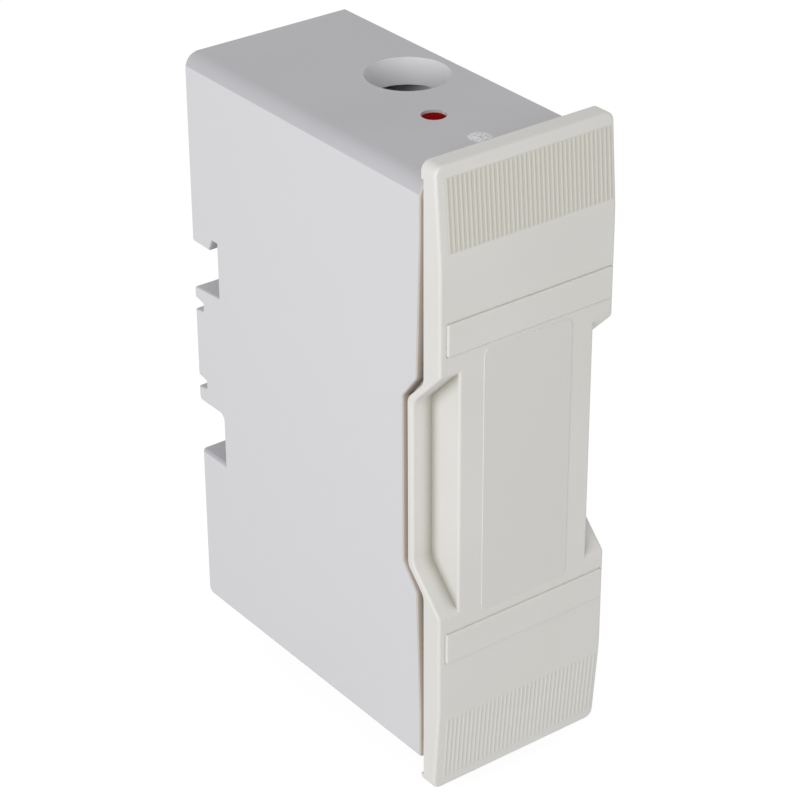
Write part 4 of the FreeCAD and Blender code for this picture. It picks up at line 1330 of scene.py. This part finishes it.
@dataclass
class Terminals:
    """Contacts, jaw springs, clamping cages and their screws."""

    tinned: Material
    spring_steel: Material
    zinc: Material
    clamp_cut: ScrewCut = ScrewCut(pitch=1.0 * MM, recess_reach=3.4 * MM, recess_width=1.2 * MM,
                                   recess_depth=1.8 * MM, chamfer=0.35 * MM)
    contact_cut: ScrewCut = ScrewCut(pitch=0.5 * MM, recess_reach=1.75 * MM, recess_width=0.7 * MM,
                                     recess_depth=0.8 * MM, chamfer=0.25 * MM)

    def screw(self, name: str, node: str, body: Body, cut: ScrewCut, z: float, head_radius: float,
              above: float = -1.0) -> None:
        """Builds a screw with the measures of its CAD node.

        Args:
            name: Name of the screw.
            node: CAD node that it stands for, or for a part of.
            body: The body that it turns with.
            cut: What is cut into it.
            z: Height of its axis.
            head_radius: Radius of its head.
            above: Only the part of the node above this height is measured.
        """
        low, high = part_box(node)
        steps = round_steps(node, Axis.Y, above)
        head_back = max(place for radius, place in steps if radius > head_radius - NEAR)
        shank_radius = max(radius for radius, place in steps if place > high.y - NEAR)
        screw = MachineScrew(name, Vector(((low.x + high.x) / 2, low.y, z)), head_radius, head_back - low.y,
                             shank_radius, high.y - low.y, cut)
        screw.build(self.zinc, body, node)

    def build(self) -> None:
        """Builds the screws and dresses the sheet-metal parts."""
        for end, body in ((End.TOP, Body.SCREW_TOP), (End.BOTTOM, Body.SCREW_BOTTOM)):
            node = "terminal_screw_" + end.value
            low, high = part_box(node)
            radius = max(radius for radius, _ in round_steps(node, Axis.Y))
            self.screw("clamp_screw_" + end.value, node, body, self.clamp_cut, (low.z + high.z) / 2, radius)
        node = "contact_screws"
        low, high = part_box(node)
        radius = (high.x - low.x) / 2
        for end, z in ((End.TOP, high.z - radius), (End.BOTTOM, low.z + radius)):
            self.screw("contact_screw_" + end.value, node, Body.BASE, self.contact_cut, z, radius,
                       above=(low.z + high.z) / 2)
            dress_node("contact_" + end.value, self.tinned, round_mm=0.12)
            dress_node("jaw_spring_" + end.value, self.spring_steel, round_mm=0.08)
            dress_node("terminal_cage_" + end.value, self.zinc, round_mm=0.15)


@dataclass
class RailLatch:
    """Sliding latch under the base and its coil spring."""

    polyamide: Material
    spring: LatchSpring

    def build(self) -> None:
        """Dresses the latch and builds the spring."""
        dress_node("rail_latch", self.polyamide, round_mm=0.2)
        self.spring.build()


def main() -> None:
    """Builds the finishes, the sub-assemblies and the stage, in that order."""
    latch_plastic = MouldedPlastic("dark_polyamide", "#2F3133", "#3A3C3E", 0.5).build()
    tinned = RolledMetal("rolled_tinned_copper", "#D9D6CE", "#BDB8AE", 0.32).build()
    wire = RolledMetal("drawn_tinned_wire", "#CFCDC8", "#B4B1AA", 0.3, line_mm=0.1).build()
    spring_steel = RolledMetal("tempered_spring_steel", "#B9B7B2", "#8F8C86", 0.3).build()
    zinc = RolledMetal("zinc_plated_steel", "#C9CCCF", "#A9B0B6", 0.35).build()
    silvered = RolledMetal("silver_plated_copper", "#E4E1DA", "#D8D0C3", 0.22, cloud_mm=4.0).build()
    silver = RolledMetal("rolled_fine_silver", "#E9E7E2", "#D8D3C8", 0.28).build()
    Housing().build()
    Indicator(MouldedLens().build(), DrawnGlass().build(), wire).build()
    Terminals(tinned, spring_steel, zinc).build()
    RailLatch(latch_plastic, LatchSpring(spring_steel)).build()
    Carrier(spring_steel).build()
    FuseLink(FiredCeramic().build(), silvered, silver, PackedSand().build()).build()
    Stage().build()


if __name__ == "__main__":
    logging.basicConfig(level=logging.INFO, format="%(message)s")
    main()
